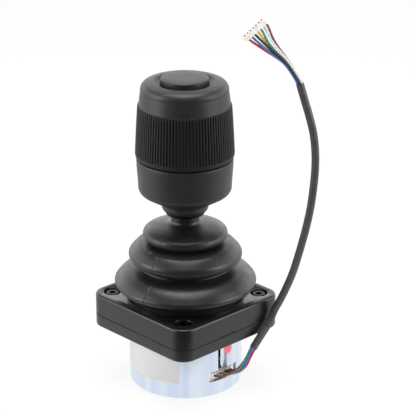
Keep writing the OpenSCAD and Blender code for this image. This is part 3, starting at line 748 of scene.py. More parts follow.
@dataclass
class Studio:
    """A white room with soft lamps, and the camera.

    Attributes:
        aim: Point that the camera looks at, in mm.
        azimuth: Direction in which the camera looks, in degrees; 0 looks along +Y.
        elevation: Height of the camera's view above level, in degrees.
        distance: From the camera to the aim, in mm.
        aside: How far the camera and its aim are moved to the right and up, in mm.
        lens: Focal length, in mm, on a 36 mm sensor.
        room_level: Even light of the room on the joystick.
        dark_level: What a glossy surface mirrors overhead and in front.
        wall_level: What it mirrors low down behind and beside the joystick.
        floor_white: How white the camera sees the floor, over its shadow.
        floor_shade: How far in front of the joystick the mirrored floor turns dark, from and to, in metres.
    """

    aim: Point3 = (0.0, 0.0, 70.0)
    azimuth: float = 46.12
    elevation: float = 21.92
    distance: float = 800.0
    aside: Point2 = (9.52, 6.64)
    lens: float = 165.3
    room_level: float = 0.4
    dark_level: float = 0.08
    wall_level: float = 2.0
    floor_white: float = 0.86
    floor_shade: Point2 = (0.05, 0.1)

    def axes(self) -> tuple[Vector, Vector, Vector]:
        """Gives the camera's right, up and back directions."""
        a, e = math.radians(self.azimuth), math.radians(self.elevation)
        right = Vector((math.cos(a), math.sin(a), 0.0))
        back = Vector((math.sin(a) * math.cos(e), -math.cos(a) * math.cos(e), math.sin(e)))
        return right, back.cross(right), back

    def place_camera(self) -> None:
        """Makes the camera and makes it the scene's."""
        right, up, back = self.axes()
        data = bpy.data.cameras.new("camera")
        data.lens = self.lens
        data.sensor_width = 36.0
        data.clip_start = 0.01
        camera = bpy.data.objects.new("camera", data)
        spot = Vector(self.aim) + back * self.distance + right * self.aside[0] + up * self.aside[1]
        turn = Matrix((right, up, back)).transposed().to_4x4()
        camera.matrix_world = Matrix.Translation(spot * MM) @ turn
        bpy.context.scene.collection.objects.link(camera)
        bpy.context.scene.camera = camera
        bpy.context.scene.view_settings.view_transform = "Standard"

    def light(self) -> None:
        """Makes the floor, the surroundings and the lamps."""
        right, _, back = self.axes()
        front = Vector((back.x, back.y, 0.0)).normalized()
        self._floor(front)
        self._surroundings(front)
        up = Vector((0, 0, 1))
        middle = Vector((0, 0, 0.08))
        self._lamp("overhead_softbox", middle + up * 0.75, middle, (0.6, 0.6), 6.5)
        self._lamp("left_softbox", middle - right * 0.6 + front * 0.2 + up * 0.15, middle, (0.35, 0.6), 2.6)
        self._lamp("right_softbox", middle + right * 0.6 + front * 0.2 + up * 0.15, middle, (0.35, 0.6),
                   2.4)

    def _floor(self, front: Vector) -> None:
        """Makes a wide white floor that keeps the joystick's shadow.

        Args:
            front: Level direction from the joystick to the camera. The floor there lies in the shade
                of the room, which shows in whatever mirrors it.
        """
        form = bmesh.new()
        loft(form, [rounded_box(4000, 4000, 400, z) for z in (-1.0, -0.02)])
        floor = make_object("studio_floor", form)
        material = bpy.data.materials.new("white_paper_sweep")
        tree = empty_tree(material)
        path = add_node(tree, "ShaderNodeLightPath").outputs
        place = add_node(tree, "ShaderNodeTexCoord").outputs["Object"]
        near, away = self.floor_shade
        lit = ramp(tree, along_way(tree, place, front), away, near, 0.1, 1.0)
        seen = maths(tree, "MULTIPLY", path["Is Camera Ray"], self.floor_white)
        share = maths(tree, "ADD", seen, maths(tree, "MULTIPLY", path["Is Glossy Ray"], lit))
        matt_white = {"Color": linear("F2F2F2"), "Roughness": 0.3}
        paper = add_node(tree, "ShaderNodeBsdfDiffuse", matt_white).outputs[0]
        glow, dark = (
            add_node(tree, "ShaderNodeEmission", {"Color": WHITE, "Strength": level}).outputs[0]
            for level in (1.0, 0.0)
        )
        matt = mixed_shader(tree, path["Is Glossy Ray"], paper, dark)
        add_node(tree, "ShaderNodeOutputMaterial", {"Surface": mixed_shader(tree, share, matt, glow)})
        floor.data.materials.append(material)

    def _surroundings(self, front: Vector) -> None:
        """Makes a white room behind the joystick, dark overhead and behind the camera.

        Args:
            front: Level direction from the joystick to the camera.
        """
        world = bpy.data.worlds.new("studio")
        bpy.context.scene.world = world
        tree = empty_tree(world)
        path = add_node(tree, "ShaderNodeLightPath").outputs
        way = add_node(tree, "ShaderNodeTexCoord").outputs["Generated"]
        behind = ramp(tree, along_way(tree, way, front), 0.6, 0.1)
        height = add_node(tree, "ShaderNodeSeparateXYZ", {0: way}).outputs["Z"]
        wall = maths(tree, "MULTIPLY", behind, ramp(tree, height, 0.66, 0.42))
        around = ramp(tree, wall, 0.0, 1.0, self.dark_level, self.wall_level)
        mirrored, room, seen = (
            add_node(tree, "ShaderNodeBackground", {"Color": WHITE, "Strength": level}).outputs[0]
            for level in (around, self.room_level, 1.0)
        )
        lit = mixed_shader(tree, path["Is Glossy Ray"], room, mirrored)
        result = mixed_shader(tree, path["Is Camera Ray"], lit, seen)
        add_node(tree, "ShaderNodeOutputWorld", {"Surface": result})

    def _lamp(self, name: str, spot: Vector, target: Vector, size: Point2, power: float) -> None:
        """Makes a soft rectangular lamp.

        Args:
            name: Its name.
            spot: Where it stands, in metres.
            target: What it points at, in metres.
            size: Its width and height, in metres.
            power: Its power, in watts.
        """
        data = bpy.data.lights.new(name, "AREA")
        data.shape = "RECTANGLE"
        data.size, data.size_y = size
        data.energy = power
        lamp = bpy.data.objects.new(name, data)
        turn = (target - spot).to_track_quat("-Z", "Y").to_matrix().to_4x4()
        lamp.matrix_world = Matrix.Translation(spot) @ turn
        bpy.context.scene.collection.objects.link(lamp)


# ---- lead


@dataclass(frozen=True)
class Fan:
    """How the wires run between the sleeving and a row of contacts.

    Attributes:
        middle: Points along the middle of the wires, in mm.
        row: At each of those, the step from one wire to the next in the row.
        gather: At each of those, how far the wires are gathered, from 0 to 1.
        loose: At each of those, how far the wires have left their even row, from 0 to 1.
        turns: Angle of each wire in the round bundle, in degrees, or None for the one in the middle.
        shuffle: Place of each wire in the loosened row, in steps from the middle.
        tuck: How far each wire lies behind the loosened row, in mm.
    """

    middle: tuple[Point3, ...]
    row: tuple[Point3, ...]
    gather: tuple[float, ...]
    loose: tuple[float, ...]
    turns: tuple[Optional[float], ...]
    shuffle: tuple[float, ...] = (-3, -2, -1, 0, 1, 2, 3)
    tuck: tuple[float, ...] = (0, 0, 0, 0, 0, 0, 0)


@dataclass
class Lead:
    """The lead: a plug, seven wires, black sleeving and a connector.

    Attributes:
        plug_face: Where the wires leave the plug, in mm. Not used.
        sleeve_route: Points along the sleeving, in mm.
        near: The wires from the plug to the sleeving.
        far: The wires from the sleeving to the connector.
        connector_spot: Middle of the connector's face that the wires enter.
        turn: The connector's turn about Y and then Z, in degrees.
        pitch: Pitch of the contacts.
        sleeve_r: Outer radius of the sleeving.
        wire_r: Radius of a wire.
        wires: Each wire's finish, in their order along the contacts.
    """

    plug_face: Point3 = (22.3, 0.0, 8.8)
    sleeve_route: tuple[Point3, ...] = (
        (31.2, 9.5, 20), (31.2, 14, 24.2), (31.3, 18.5, 28.5), (31.9, 21.4, 34), (34.8, 21.8, 39.6),
        (38.1, 22.3, 46.8), (41, 22.7, 54), (43.8, 22.6, 62), (46.3, 22.6, 70), (48.6, 22.5, 78),
        (50.5, 22.4, 86), (51.7, 22.4, 94), (52.3, 22.6, 102), (52.3, 22.5, 110), (51.6, 21.9, 118),
        (50.2, 20.5, 126), (49, 19.2, 132), (47.6, 17.7, 139),
    )
    near: Fan = Fan(
        middle=((22.2, 0, 8.8), (23.4, 0.1, 8.8), (25.9, 1.3, 8.7), (28.9, 4.7, 11.5), (30.6, 7.4, 16.2),
                (31.2, 9.5, 20), (31.2, 10.6, 21.03)),
        row=((0, 1.5, 0), (0, 1.5, 0), (0.25, 1.4, -0.04), (0.45, 0.9, 0.2), (0.33, 0.45, 0.2), (0, 0, 0),
             (0, 0, 0)),
        gather=(0, 0, 0, 0.1, 0.65, 1, 1),
        loose=(0, 0, 0.6, 1, 1, 0, 0),
        turns=(190, 130, 250, 70, None, 310, 10),
        shuffle=(-1.7, -1.2, -0.6, 0.2, 0.3, 1.3, 2.2),
        tuck=(0, 0.9, 0, 0.9, 0.35, 0, 0),
    )
    far: Fan = Fan(
        middle=((47.95, 18.07, 137.25), (47.6, 17.7, 139), (44.1, 14.1, 147), (38.9, 8.8, 154.6),
                (36.3, 6.0, 159.67), (35.75, 5.45, 160.5)),
        row=((0, 0, 0), (0, 0, 0), (-0.2, -0.2, -0.26), (-0.62, -0.64, -0.83), (-0.756, -0.783, -1.03),
             (-0.756, -0.783, -1.03)),
        gather=(1, 1, 0.8, 0.35, 0, 0),
        loose=(0, 0, 0, 0, 0, 0),
        turns=(300, 240, None, 0, 180, 120, 60),
    )
    connector_spot: Point3 = (35.8, 5.5, 160.4)
    turn: Point2 = (-43.5, 46.0)
    pitch: float = 1.5
    sleeve_r: float = 1.62
    wire_r: float = 0.49
    wires: tuple[Finish, ...] = field(
        default_factory=lambda: (
            wire_finish("brown", "7E4A50", "74444A"),
            wire_finish("white", "D6D6D6", "CBCBCB"),
            wire_finish("green", "4B967D", "448B73"),
            wire_finish("yellow", "E1B43C", "D6A934"),
            wire_finish("black", "2E3232", "282C2C"),
            wire_finish("blue", "4678BE", "3E6DB0"),
            wire_finish("red", "C8283C", "BA2135"),
        )
    )

    def build(self) -> None:
        near = self._wires("lead_wires_near_dressed", self.near, self.sleeve_route[:2])
        far = self._wires("lead_wires_far_dressed", self.far, self.sleeve_route[-2:])
        fit(near, Body.BASE, "wire", "lead_wires_near")
        fit(far, Body.BASE, "wire", "lead_wires_far")
        for piece in (near, far):
            self._colour_wires(piece)
        connector = self._connector()
        contacts = self._contacts()
        sleeve, path = self._sleeve()
        fit(sleeve, Body.BASE, "sleeving", "lead_sleeve")

    def _connector_turn(self) -> Matrix:
        """Gives the connector's rotation."""
        about_y, about_z = (math.radians(a) for a in self.turn)
        return (Matrix.Rotation(about_z, 4, "Z") @ Matrix.Rotation(about_y, 4, "Y")).to_3x3()

    def _wires(self, name: str, fan: Fan, mouth: Sequence[Point3]) -> Piece:
        """Makes the seven wires that fan out from the sleeving.

        Args:
            name: The piece's name.
            fan: How they run.
            mouth: The two points of the sleeving's route at its end.

        Returns:
            The piece, with the wires' faces in their order.
        """
        along = (Vector(mouth[1]) - Vector(mouth[0])).normalized()
        normal = along.cross(Vector((0, 0, 1))).normalized()
        side = along.cross(normal)
        form = bmesh.new()
        for i, degrees in enumerate(fan.turns):
            packed = Vector()
            if degrees is not None:
                turn = math.radians(degrees)
                packed = (normal * math.cos(turn) + side * math.sin(turn)) * 2 * self.wire_r
            wander = Vector((math.sin(2.1 * i), math.cos(1.7 * i), math.sin(1.3 * i + 1))) * 0.2
            even = i - (len(self.wires) - 1) / 2
            points = []
            for p, step, g, free in zip(fan.middle, fan.row, fan.gather, fan.loose):
                place = even + (fan.shuffle[i] - even) * free
                behind = Vector((-0.67, 0.64, -0.37)) * fan.tuck[i] * free
                spread = (Vector(step) * place + behind) * (1 - g)
                points.append(tuple(Vector(p) + spread + packed * g + wander * (4 * g * (1 - g))))
            path = smooth_path(points, 8)
            loft(form, [ring(at, across, self.wire_r, 14) for at, across in zip(path, across_path(path))])
        return make_object(name, form, 60)

    def _colour_wires(self, piece: Piece) -> None:
        """Gives each wire of a bundle its own finish."""
        paint(piece, *self.wires)
        share = len(piece.data.polygons) // len(self.wires)
        for i, face in enumerate(piece.data.polygons):
            face.material_index = min(i // share, len(self.wires) - 1)

    def _sleeve(self) -> tuple[Piece, list[Vector]]:
        """Makes the sleeving, open at both ends.

        Returns:
            The piece, and the points that it follows.
        """
        path = smooth_path(self.sleeve_route, 8)
        inner = self.sleeve_r - 0.16
        first = (path[1] - path[0]).normalized()
        last = (path[-1] - path[-2]).normalized()
        rings = [path[0] + first * 1.5, path[0] + first * 0.1, path[0], *path[1:-1], path[-1],
                 path[-1] - last * 0.1, path[-1] - last * 1.5]
        radii = [inner, inner, self.sleeve_r - 0.04]
        radii += [self.sleeve_r - 0.02 * math.sin(0.9 * i) ** 2 for i in range(len(path) - 2)]
        radii += [self.sleeve_r - 0.04, inner, inner]
        across = across_path(path)
        spare = 2
        across = [across[0]] * spare + across + [across[-1]] * spare
        form = bmesh.new()
        loft(form, [ring(*part, 24) for part in zip(rings, across, radii)])
        return make_object("lead_sleeving", form, 50), path

    def _connector(self) -> Piece:
        """Makes the connector's housing, with a window at each contact."""
        count = len(self.wires)
        length, thick, depth = (count - 1) * self.pitch + 3, 3.2, 3.6
        form = bmesh.new()
        half, side = length / 2, thick / 2
        loft(form, [
            rounded_box(half - e, side - e, 1.0 - e, z, 6)
            for e, z in ((0.15, 0.0), (0.0, 0.15), (0.0, depth - 0.6), (0.1, depth - 0.5),
                         (0.45, depth - 0.45),
                         (0.5, depth))
        ])
        housing = make_object("lead_connector_housing", form)
        cuts = []
        for i in range(count):
            x = self.pitch * (i - (count - 1) / 2)
            cuts.append(self._block((x - 0.28, -side - 0.3, depth - 1.45),
                                    (x + 0.28, -side + 0.8, depth - 0.75)))
            cuts.append(self._block((x - 0.35, -0.35, depth - 1.2), (x + 0.35, 0.35, depth + 0.5)))
            cuts.append(self._block((x - 0.55, -0.55, -0.5), (x + 0.55, 0.55, 1.0)))
        bored(housing, cuts)
        soften(housing, 0.12)
        self._place(housing)
        return fit(housing, Body.BASE, "ivory_plastic", "lead_connector")

    def _contacts(self) -> Piece:
        """Makes the crimped contacts that show in the connector's windows."""
        form = bmesh.new()
        count = len(self.wires)
        for i in range(count):
            x = self.pitch * (i - (count - 1) / 2)
            loops = [
                [(x - w, -0.5, z), (x + w, -0.5, z), (x + w, 0.3, z), (x - w, 0.3, z)]
                for w, z in ((0.3, 0.4), (0.34, 1.6), (0.28, 1.8), (0.32, 3.0))
            ]
            loft(form, loops)
        contacts = make_object("lead_contacts", form)
        soften(contacts, 0.05, 1)
        self._place(contacts)
        return fit(contacts, Body.BASE, "steel")

    @staticmethod
    def _block(low: Point3, high: Point3) -> Piece:
        """Makes a straight cutter between two corners."""
        form = bmesh.new()
        loft(form, [
            [(low[0], low[1], z), (high[0], low[1], z), (high[0], high[1], z), (low[0], high[1], z)]
            for z in (low[2], high[2])
        ])
        return make_object("cutter", form)

    def _place(self, piece: Piece) -> None:
        """Turns a piece of the connector and moves it to the wires' end."""
        spot = Matrix.Translation(Vector(self.connector_spot) * MM)
        piece.data.transform(spot @ self._connector_turn().to_4x4())


# ---- base


@dataclass
class Can:
    """The plated can, its slot and what is stuck on it.

    Attributes:
        radius: Outer radius, in mm.
        height: Height of its rim, in the flange's groove.
        wall: Thickness of its wall.
        edge: Radius of its bottom edge.
        slot_angle: Half the slot's width, in degrees.
        slot_z: Lower and upper edge of the slot.
        slit_angle: Where the slit is, in degrees.
        slit_half: Half the slit's width.
        flare: Radius at which the slit runs out into the slot.
        label_angles: Ends of the label, in degrees.
        label_z: Lower and upper edge of the label.
        dot_angle: Middle of the red dot, in degrees.
        dot_z: Height of its middle.
        dot_r: Its radius.
    """

    radius: float = 24.0
    height: float = 24.95
    wall: float = 0.8
    edge: float = 1.2
    slot_angle: float = 19.5
    slot_z: Point2 = (6.7, 11.4)
    slit_angle: float = -7.4
    slit_half: float = 0.6
    flare: float = 3.2
    label_angles: Point2 = (-127.0, -50.0)
    label_z: Point2 = (7.4, 21.9)
    dot_angle: float = 4.5
    dot_z: float = 20.05
    dot_r: float = 2.4

    def build(self) -> None:
        """Makes the can, the label and the dot."""
        r, w = self.radius, self.wall
        outline = [(0.0, 0.0), (r - self.edge, 0.0)]
        outline += arc((r - self.edge, self.edge), self.edge, -90, 0, 8)[1:]
        outline += [(r, z) for z in (4, 6.7, 9, 11.4, 15, 19.5, self.height)]
        outline += [(r - w, self.height), (r - w, w + self.edge)]
        outline += arc((r - w - self.edge, w + self.edge), self.edge, 0, -90, 6)[1:] + [(0.0, w)]
        can = turned("can_shell", outline, 240, 30)
        bored(can, [self._slot_cutter()], 30)
        fit(can, Body.BASE, "plated_steel", "can")
        label = self._sticker(
            "blank_label_film", sum(self.label_angles) / 2, self.label_z, self._label_half, 0.13
        )
        fit(label, Body.BASE, "label", "blank_label")
        low, high = self.dot_z - self.dot_r, self.dot_z + self.dot_r
        dot = self._sticker("red_lacquer_dot", self.dot_angle, (low, high), self._dot_half, 0.1)
        fit(dot, Body.BASE, "red_marker", "inspection_dot")

    def _label_half(self, z: float) -> float:
        """Gives half the label's width at a height, in mm along the can."""
        half = math.radians(self.label_angles[1] - self.label_angles[0]) / 2 * self.radius
        inside = min(z - self.label_z[0], self.label_z[1] - z)
        corner = 1.1
        return half if inside >= corner else half - corner + math.sqrt(corner**2 - (corner - inside) ** 2)

    def _dot_half(self, z: float) -> float:
        """Gives half the dot's width at a height, in mm along the can."""
        return math.sqrt(max(self.dot_r**2 - (z - self.dot_z) ** 2, 1e-6))

    def _sticker(
        self, name: str, middle: float, heights: Point2, half: Callable[[float], float], thick: float
    ) -> Piece:
        """Makes a thin patch that lies on the can.

        Args:
            name: Its name.
            middle: Angle of its middle, in degrees.
            heights: Its lower and upper edge.
            half: Half its width at a height, in mm along the can.
            thick: Its thickness.

        Returns:
            The piece.
        """
        rows = 32
        columns = 48
        form = bmesh.new()
        layers = []
        for out in (0.012, thick):
            grid = []
            for i in range(rows + 1):
                t = (1 - math.cos(math.pi * i / rows)) / 2
                z = heights[0] + (heights[1] - heights[0]) * t
                row = []
                for k in range(columns + 1):
                    a = math.radians(middle) + half(z) * (2 * k / columns - 1) / self.radius
                    r = self.radius + out
                    row.append(form.verts.new((r * math.cos(a), r * math.sin(a), z)))
                grid.append(row)
            layers.append(grid)
        for grid in layers:
            for low, high in zip(grid, grid[1:]):
                for k in range(columns):
                    form.faces.new((low[k], low[k + 1], high[k + 1], high[k]))
        rims = []
        for grid in layers:
            right, left = [row[-1] for row in grid[1:]], [row[0] for row in grid[-2:0:-1]]
            rims.append(grid[0] + right + grid[-1][-2::-1] + left)
        for k in range(len(rims[0])):
            j = (k + 1) % len(rims[0])
            form.faces.new((rims[0][k], rims[0][j], rims[1][j], rims[1][k]))
        return make_object(name, form, 40)

    def _slot_cutter(self) -> Piece:
        """Makes the shape that cuts the slot, the slit and its flare out of the wall."""
        half = math.radians(self.slot_angle) * self.radius
        slit = math.radians(self.slit_angle) * self.radius
        low, high = self.slot_z
        left, right = slit - self.slit_half, slit + self.slit_half
        flare = arc((right + self.flare, high + self.flare), self.flare, 270, 180, 8)
        outline = eased(
            [(-half, low, 0.8), (half, low, 0.8), (half, high, 0.8), *flare, (right, self.height + 2),
             (left, self.height + 2), (left, high, 0.4), (-half, high, 0.8)], 5
        )
        form = bmesh.new()
        loft(form, [
            [(r * math.cos(x / self.radius), r * math.sin(x / self.radius), z) for x, z in outline]
            for r in (self.radius - 3, self.radius + 3)
        ])
        return make_object("cutter", form)


@dataclass
class Flange:
    """The square flange, in two halves, and its four screws.

    Attributes:
        half: Half its side, in mm.
        corner: Radius of its corners.
        low_z: Its underside.
        parting_z: Where the halves meet.
        top_z: Its top.
        edge: Radius of its edges.
        groove: Depth and height of the groove between the halves.
        opening: Radius of the bellows' opening.
        screw_at: Distance of the screws from the middle, along X and Y.
        recess: Radius of a screw's recess.
        seat_z: Where a screw's head sits.
    """

    half: float = 29.0
    corner: float = 6.75
    low_z: float = 24.0
    parting_z: float = 29.6
    top_z: float = 38.7
    edge: float = 1.0
    groove: float = 0.35
    opening: float = 24.6
    screw_at: float = 22.0
    recess: float = 3.65
    seat_z: float = 35.4

    def build(self) -> None:
        """Makes both halves and the screws."""
        fit(self._lower(), Body.BASE, "black_plastic", "lower_flange")
        fit(self._upper(), Body.BASE, "black_plastic", "bezel")
        fit(self._screws(), Body.BASE, "black_screw", "mounting_screws")

    def _level(self, inset: float, z: float) -> list[Point3]:
        """Gives the flange's outline at a height, drawn in by inset."""
        return rounded_box(self.half - inset, self.half - inset, self.corner - inset, z)

    def _lower(self) -> Piece:
        """Makes the lower half, with its spigot left out."""
        loops = [self._level(self.edge - e * math.sin(math.radians(a)),
                             self.low_z + e * (1 - math.cos(math.radians(a))))
                 for e, a in ((self.edge, 15 * k) for k in range(7))]
        top = self.parting_z - self.groove
        loops += [self._level(0, top - 0.15), self._level(0.15, top), self._level(self.groove, top + 0.02),
                  self._level(self.groove, self.parting_z)]
        form = bmesh.new()
        loft(form, loops)
        piece = make_object("flange_lower_half", form)
        cuts = [self._drill(0, 0, 17.5, self.low_z - 1, self.parting_z + 1, 96)]
        cuts.append(self._drill(0, 0, 24.25, self.low_z - 1, self.low_z + 1, 160))
        cuts += [self._drill(x, y, 1.6, self.low_z - 1, self.parting_z + 1, 32) for x, y in self._corners()]
        bored(piece, cuts)
        return piece

    def _upper(self) -> Piece:
        """Makes the upper half, with its recesses, opening and pry slot."""
        e = self.edge
        loops = [self._level(0.15, self.parting_z), self._level(0, self.parting_z + 0.15)]
        loops += [self._level(e - e * math.cos(math.radians(a)),
                              self.top_z - e + e * math.sin(math.radians(a)))
                  for a in (0, 12, 24, 36, 48, 60, 72, 81, 90)]
        form = bmesh.new()
        loft(form, loops)
        piece = make_object("flange_bezel", form)
        cuts = [self._drill(0, 0, self.opening, self.parting_z - 1, self.top_z + 1, 160, 0.3)]
        for x, y in self._corners():
            cuts.append(self._drill(x, y, self.recess, self.seat_z, self.top_z + 1, 64, 0.2))
            cuts.append(self._drill(x, y, 1.6, self.parting_z - 1, self.top_z, 32))
        cuts.append(self._pry_slot())
        bored(piece, cuts)
        return piece

    def _corners(self) -> list[Point2]:
        """Gives where the screws are."""
        return [(sx * self.screw_at, sy * self.screw_at) for sx in (-1, 1) for sy in (-1, 1)]

    def _drill(
        self, x: float, y: float, r: float, low: float, high: float, count: int, lead_in: float = 0.0
    ) -> Piece:
        """Makes a round cutter, wider by lead_in where it leaves the top."""
        outline = [(0.0, low), (r, low)]
        if lead_in:
            outline += [(r, self.top_z - lead_in), (r + lead_in * 0.35, self.top_z - lead_in * 0.35),
                        (r + lead_in * 1.1, self.top_z + 0.02), (r + lead_in * 1.1, high)]
        else:
            outline += [(r, high)]
        outline += [(0.0, high)]
        cutter = turned("cutter", outline, count)
        cutter.data.transform(Matrix.Translation(Vector((x, y, 0)) * MM))
        return cutter

    def _pry_slot(self) -> Piece:
        """Makes the cutter of the slot under the bezel's edge."""
        form = bmesh.new()
        low, high = self.parting_z - 0.5, self.parting_z + 0.5
        loft(form,
             [[(28.1, -8.0, z), (30.0, -8.0, z), (30.0, 0.9, z), (28.1, 0.9, z)] for z in (low, high)])
        return make_object("cutter", form)

    def _screws(self) -> Piece:
        """Makes four M3 socket head screws, with the threads that stand out below."""
        head_r, head_h, r, length = 2.75, 3.0, 1.5, 14.0
        ring = [(1.5, head_h), (1.5, head_h - 0.3), (1.35, head_h - 1.7), (0.0, head_h - 1.9)]
        pitch, threads = 0.5, 6
        shank: list[Point2] = []
        for z in (pitch * i - length for i in range(threads)):
            shank += [(r - 0.27, z), (r, z + 0.22), (r, z + 0.28), (r - 0.27, z + pitch)]
        body = [(0.0, -length)] + shank + [(r - 0.05, -10.7), (r - 0.05, 0.0), (head_r - 0.15, 0.0),
                                           (head_r, 0.15)]
        body += [(head_r, head_h - 0.35)] + arc((head_r - 0.35, head_h - 0.35), 0.35, 0, 90, 5)[1:]
        body += [(1.75, head_h)] + ring
        form = bmesh.new()
        for x, y in self._corners():
            part = bmesh.new()
            revolve(part, body, even_angles(48), self._socket, closed=False)
            bmesh.ops.translate(part, vec=Vector((x, y, self.seat_z)), verts=part.verts)
            mesh = bpy.data.meshes.new("screw")
            part.to_mesh(mesh)
            part.free()
            form.from_mesh(mesh)
            bpy.data.meshes.remove(mesh)
        return make_object("flange_socket_screws", form, 35)

    @staticmethod
    def _socket(angle: float, r: float, z: float) -> float:
        """Turns the head's round recess to a hexagon of 2.5 mm across flats."""
        if not 1.3 < r < 1.52 or z < 1.2:
            return 0.0
        flat = 1.25 / math.cos(math.radians((angle % 60) - 30))
        return flat - r


# ---- bellows


@dataclass
class Bellows:
    """The rubber bellows, from its foot under the bezel to its neck on the stick.

    Attributes:
        wall: Thickness of the rubber, in mm.
        seam_angle: Where the mould's parting line runs, in degrees.
        shaft_r: Radius of the stick that the neck grips.
    """

    wall: float = 1.2
    seam_angle: float = -78.4
    shaft_r: float = 4.0

    def lower_outline(self) -> list[Point2]:
        """Gives the outer line of the largest fold, from the foot up."""
        line = [(26.3, 36.2), (26.3, 37.15), (24.45, 37.15), (24.3, 38.5), (24.35, 40.2)]
        line += smooth_line([(24.35, 40.2), (24.9, 41.9), (26.3, 42.9)], 4)[1:]
        line += arc((28.2, 45.1), 1.75, -100, 47, 18)
        line += smooth_line([(29.39, 46.38), (27.9, 48.1), (26.4, 49.4), (24.9, 50.25), (22.6, 50.9),
                             (20.6, 51.35),
                             (19.4, 51.9), (19.0, 52.45)], 5)[1:]
        return line

    def upper_outline(self) -> list[Point2]:
        """Gives the outer line of the two upper folds and the neck, from the lower fold up."""
        line = smooth_line([(19.0, 52.45), (19.15, 53.2), (19.9, 54.1), (20.86, 54.31)], 5)
        line += arc((21.1, 57.1), 2.8, -95, 46, 18)[1:]
        line += smooth_line([(23.05, 59.11), (21.6, 60.7), (20.3, 61.8), (18.6, 62.4), (16.2, 62.75),
                             (14.7, 63.1),
                             (14.2, 63.6), (14.6, 64.0), (15.41, 64.11)], 5)[1:]
        line += arc((15.6, 66.3), 2.2, -95, 62, 14)[1:]
        line += smooth_line([(16.63, 68.24), (14.6, 69.15), (11.5, 69.95), (8.6, 70.5), (7.0, 71.0),
                             (6.1, 71.8),
                             (5.9, 72.9), (5.9, 74.1)], 5)[1:]
        line += [(5.8, 74.45), (5.5, 74.6)]
        return line

    def build(self) -> None:
        """Makes both parts, paints them in rubber and hides the nodes that they stand for."""
        lower = self._shell("bellows_lower_fold", self.lower_outline(), (24.0, 36.0), (18.2, 52.6))
        upper = self._shell("bellows_upper_folds", self.upper_outline(), (17.9, 52.3),
                            (self.shaft_r + 0.1, 74.6))
        for piece, node, pair, heights in (
            (lower, "bellows_lower", (Body.BASE, Body.GIMBAL), (39.5, 51.9)),
            (upper, "bellows_upper", (Body.GIMBAL, Body.STICK), (52.6, 70.6)),
        ):
            paint(piece, BELLOWS_RUBBER)
            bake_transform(piece)
            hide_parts(node)
            LOG.info("%s bends between %s and %s", piece.name, pair[0].value, pair[1].value)

    def _shell(self, name: str, outer: list[Point2], foot: Point2, head: Point2) -> Piece:
        """Makes a thin shell under an outer line.

        Args:
            name: The piece's name.
            outer: The outer line, from its foot up.
            foot: Where the inner side starts.
            head: Where the inner side ends.

        Returns:
            The piece.
        """
        inner = []
        for i in range(2, len(outer) - 2, 3):
            before, here, after = (Vector(outer[k]) for k in (i - 1, i, i + 1))
            along = (after - before).normalized()
            point = here + Vector((-along.y, along.x)) * self.wall
            if point.x > self.shaft_r + 0.3:
                inner.append((point.x, point.y))
        outline = outer + [head] + list(reversed(inner)) + [foot]
        form = bmesh.new()
        revolve(form, outline, self._angles(), self._seam)
        return make_object(name, form, 50)

    def _angles(self) -> list[float]:
        """Gives the angles round the bellows, closer together at the mould's line."""
        seams = (self.seam_angle % 360, (self.seam_angle + 180) % 360)
        angles = {round(a, 3) for a in even_angles(180)}
        for seam in seams:
            angles = {a for a in angles if abs(a - seam) > 1.2}
            angles |= {round(seam + d, 3) for d in (-1.0, -0.5, -0.25, 0.0, 0.25, 0.5, 1.0)}
        return sorted(angles)

    def _seam(self, angle: float, r: float, z: float) -> float:
        """Gives the depth of the mould's fine line at an angle."""
        away = abs((angle - self.seam_angle + 90) % 180 - 90)
        return -0.13 if away < 0.3 else 0.0


# ---- stick and grip


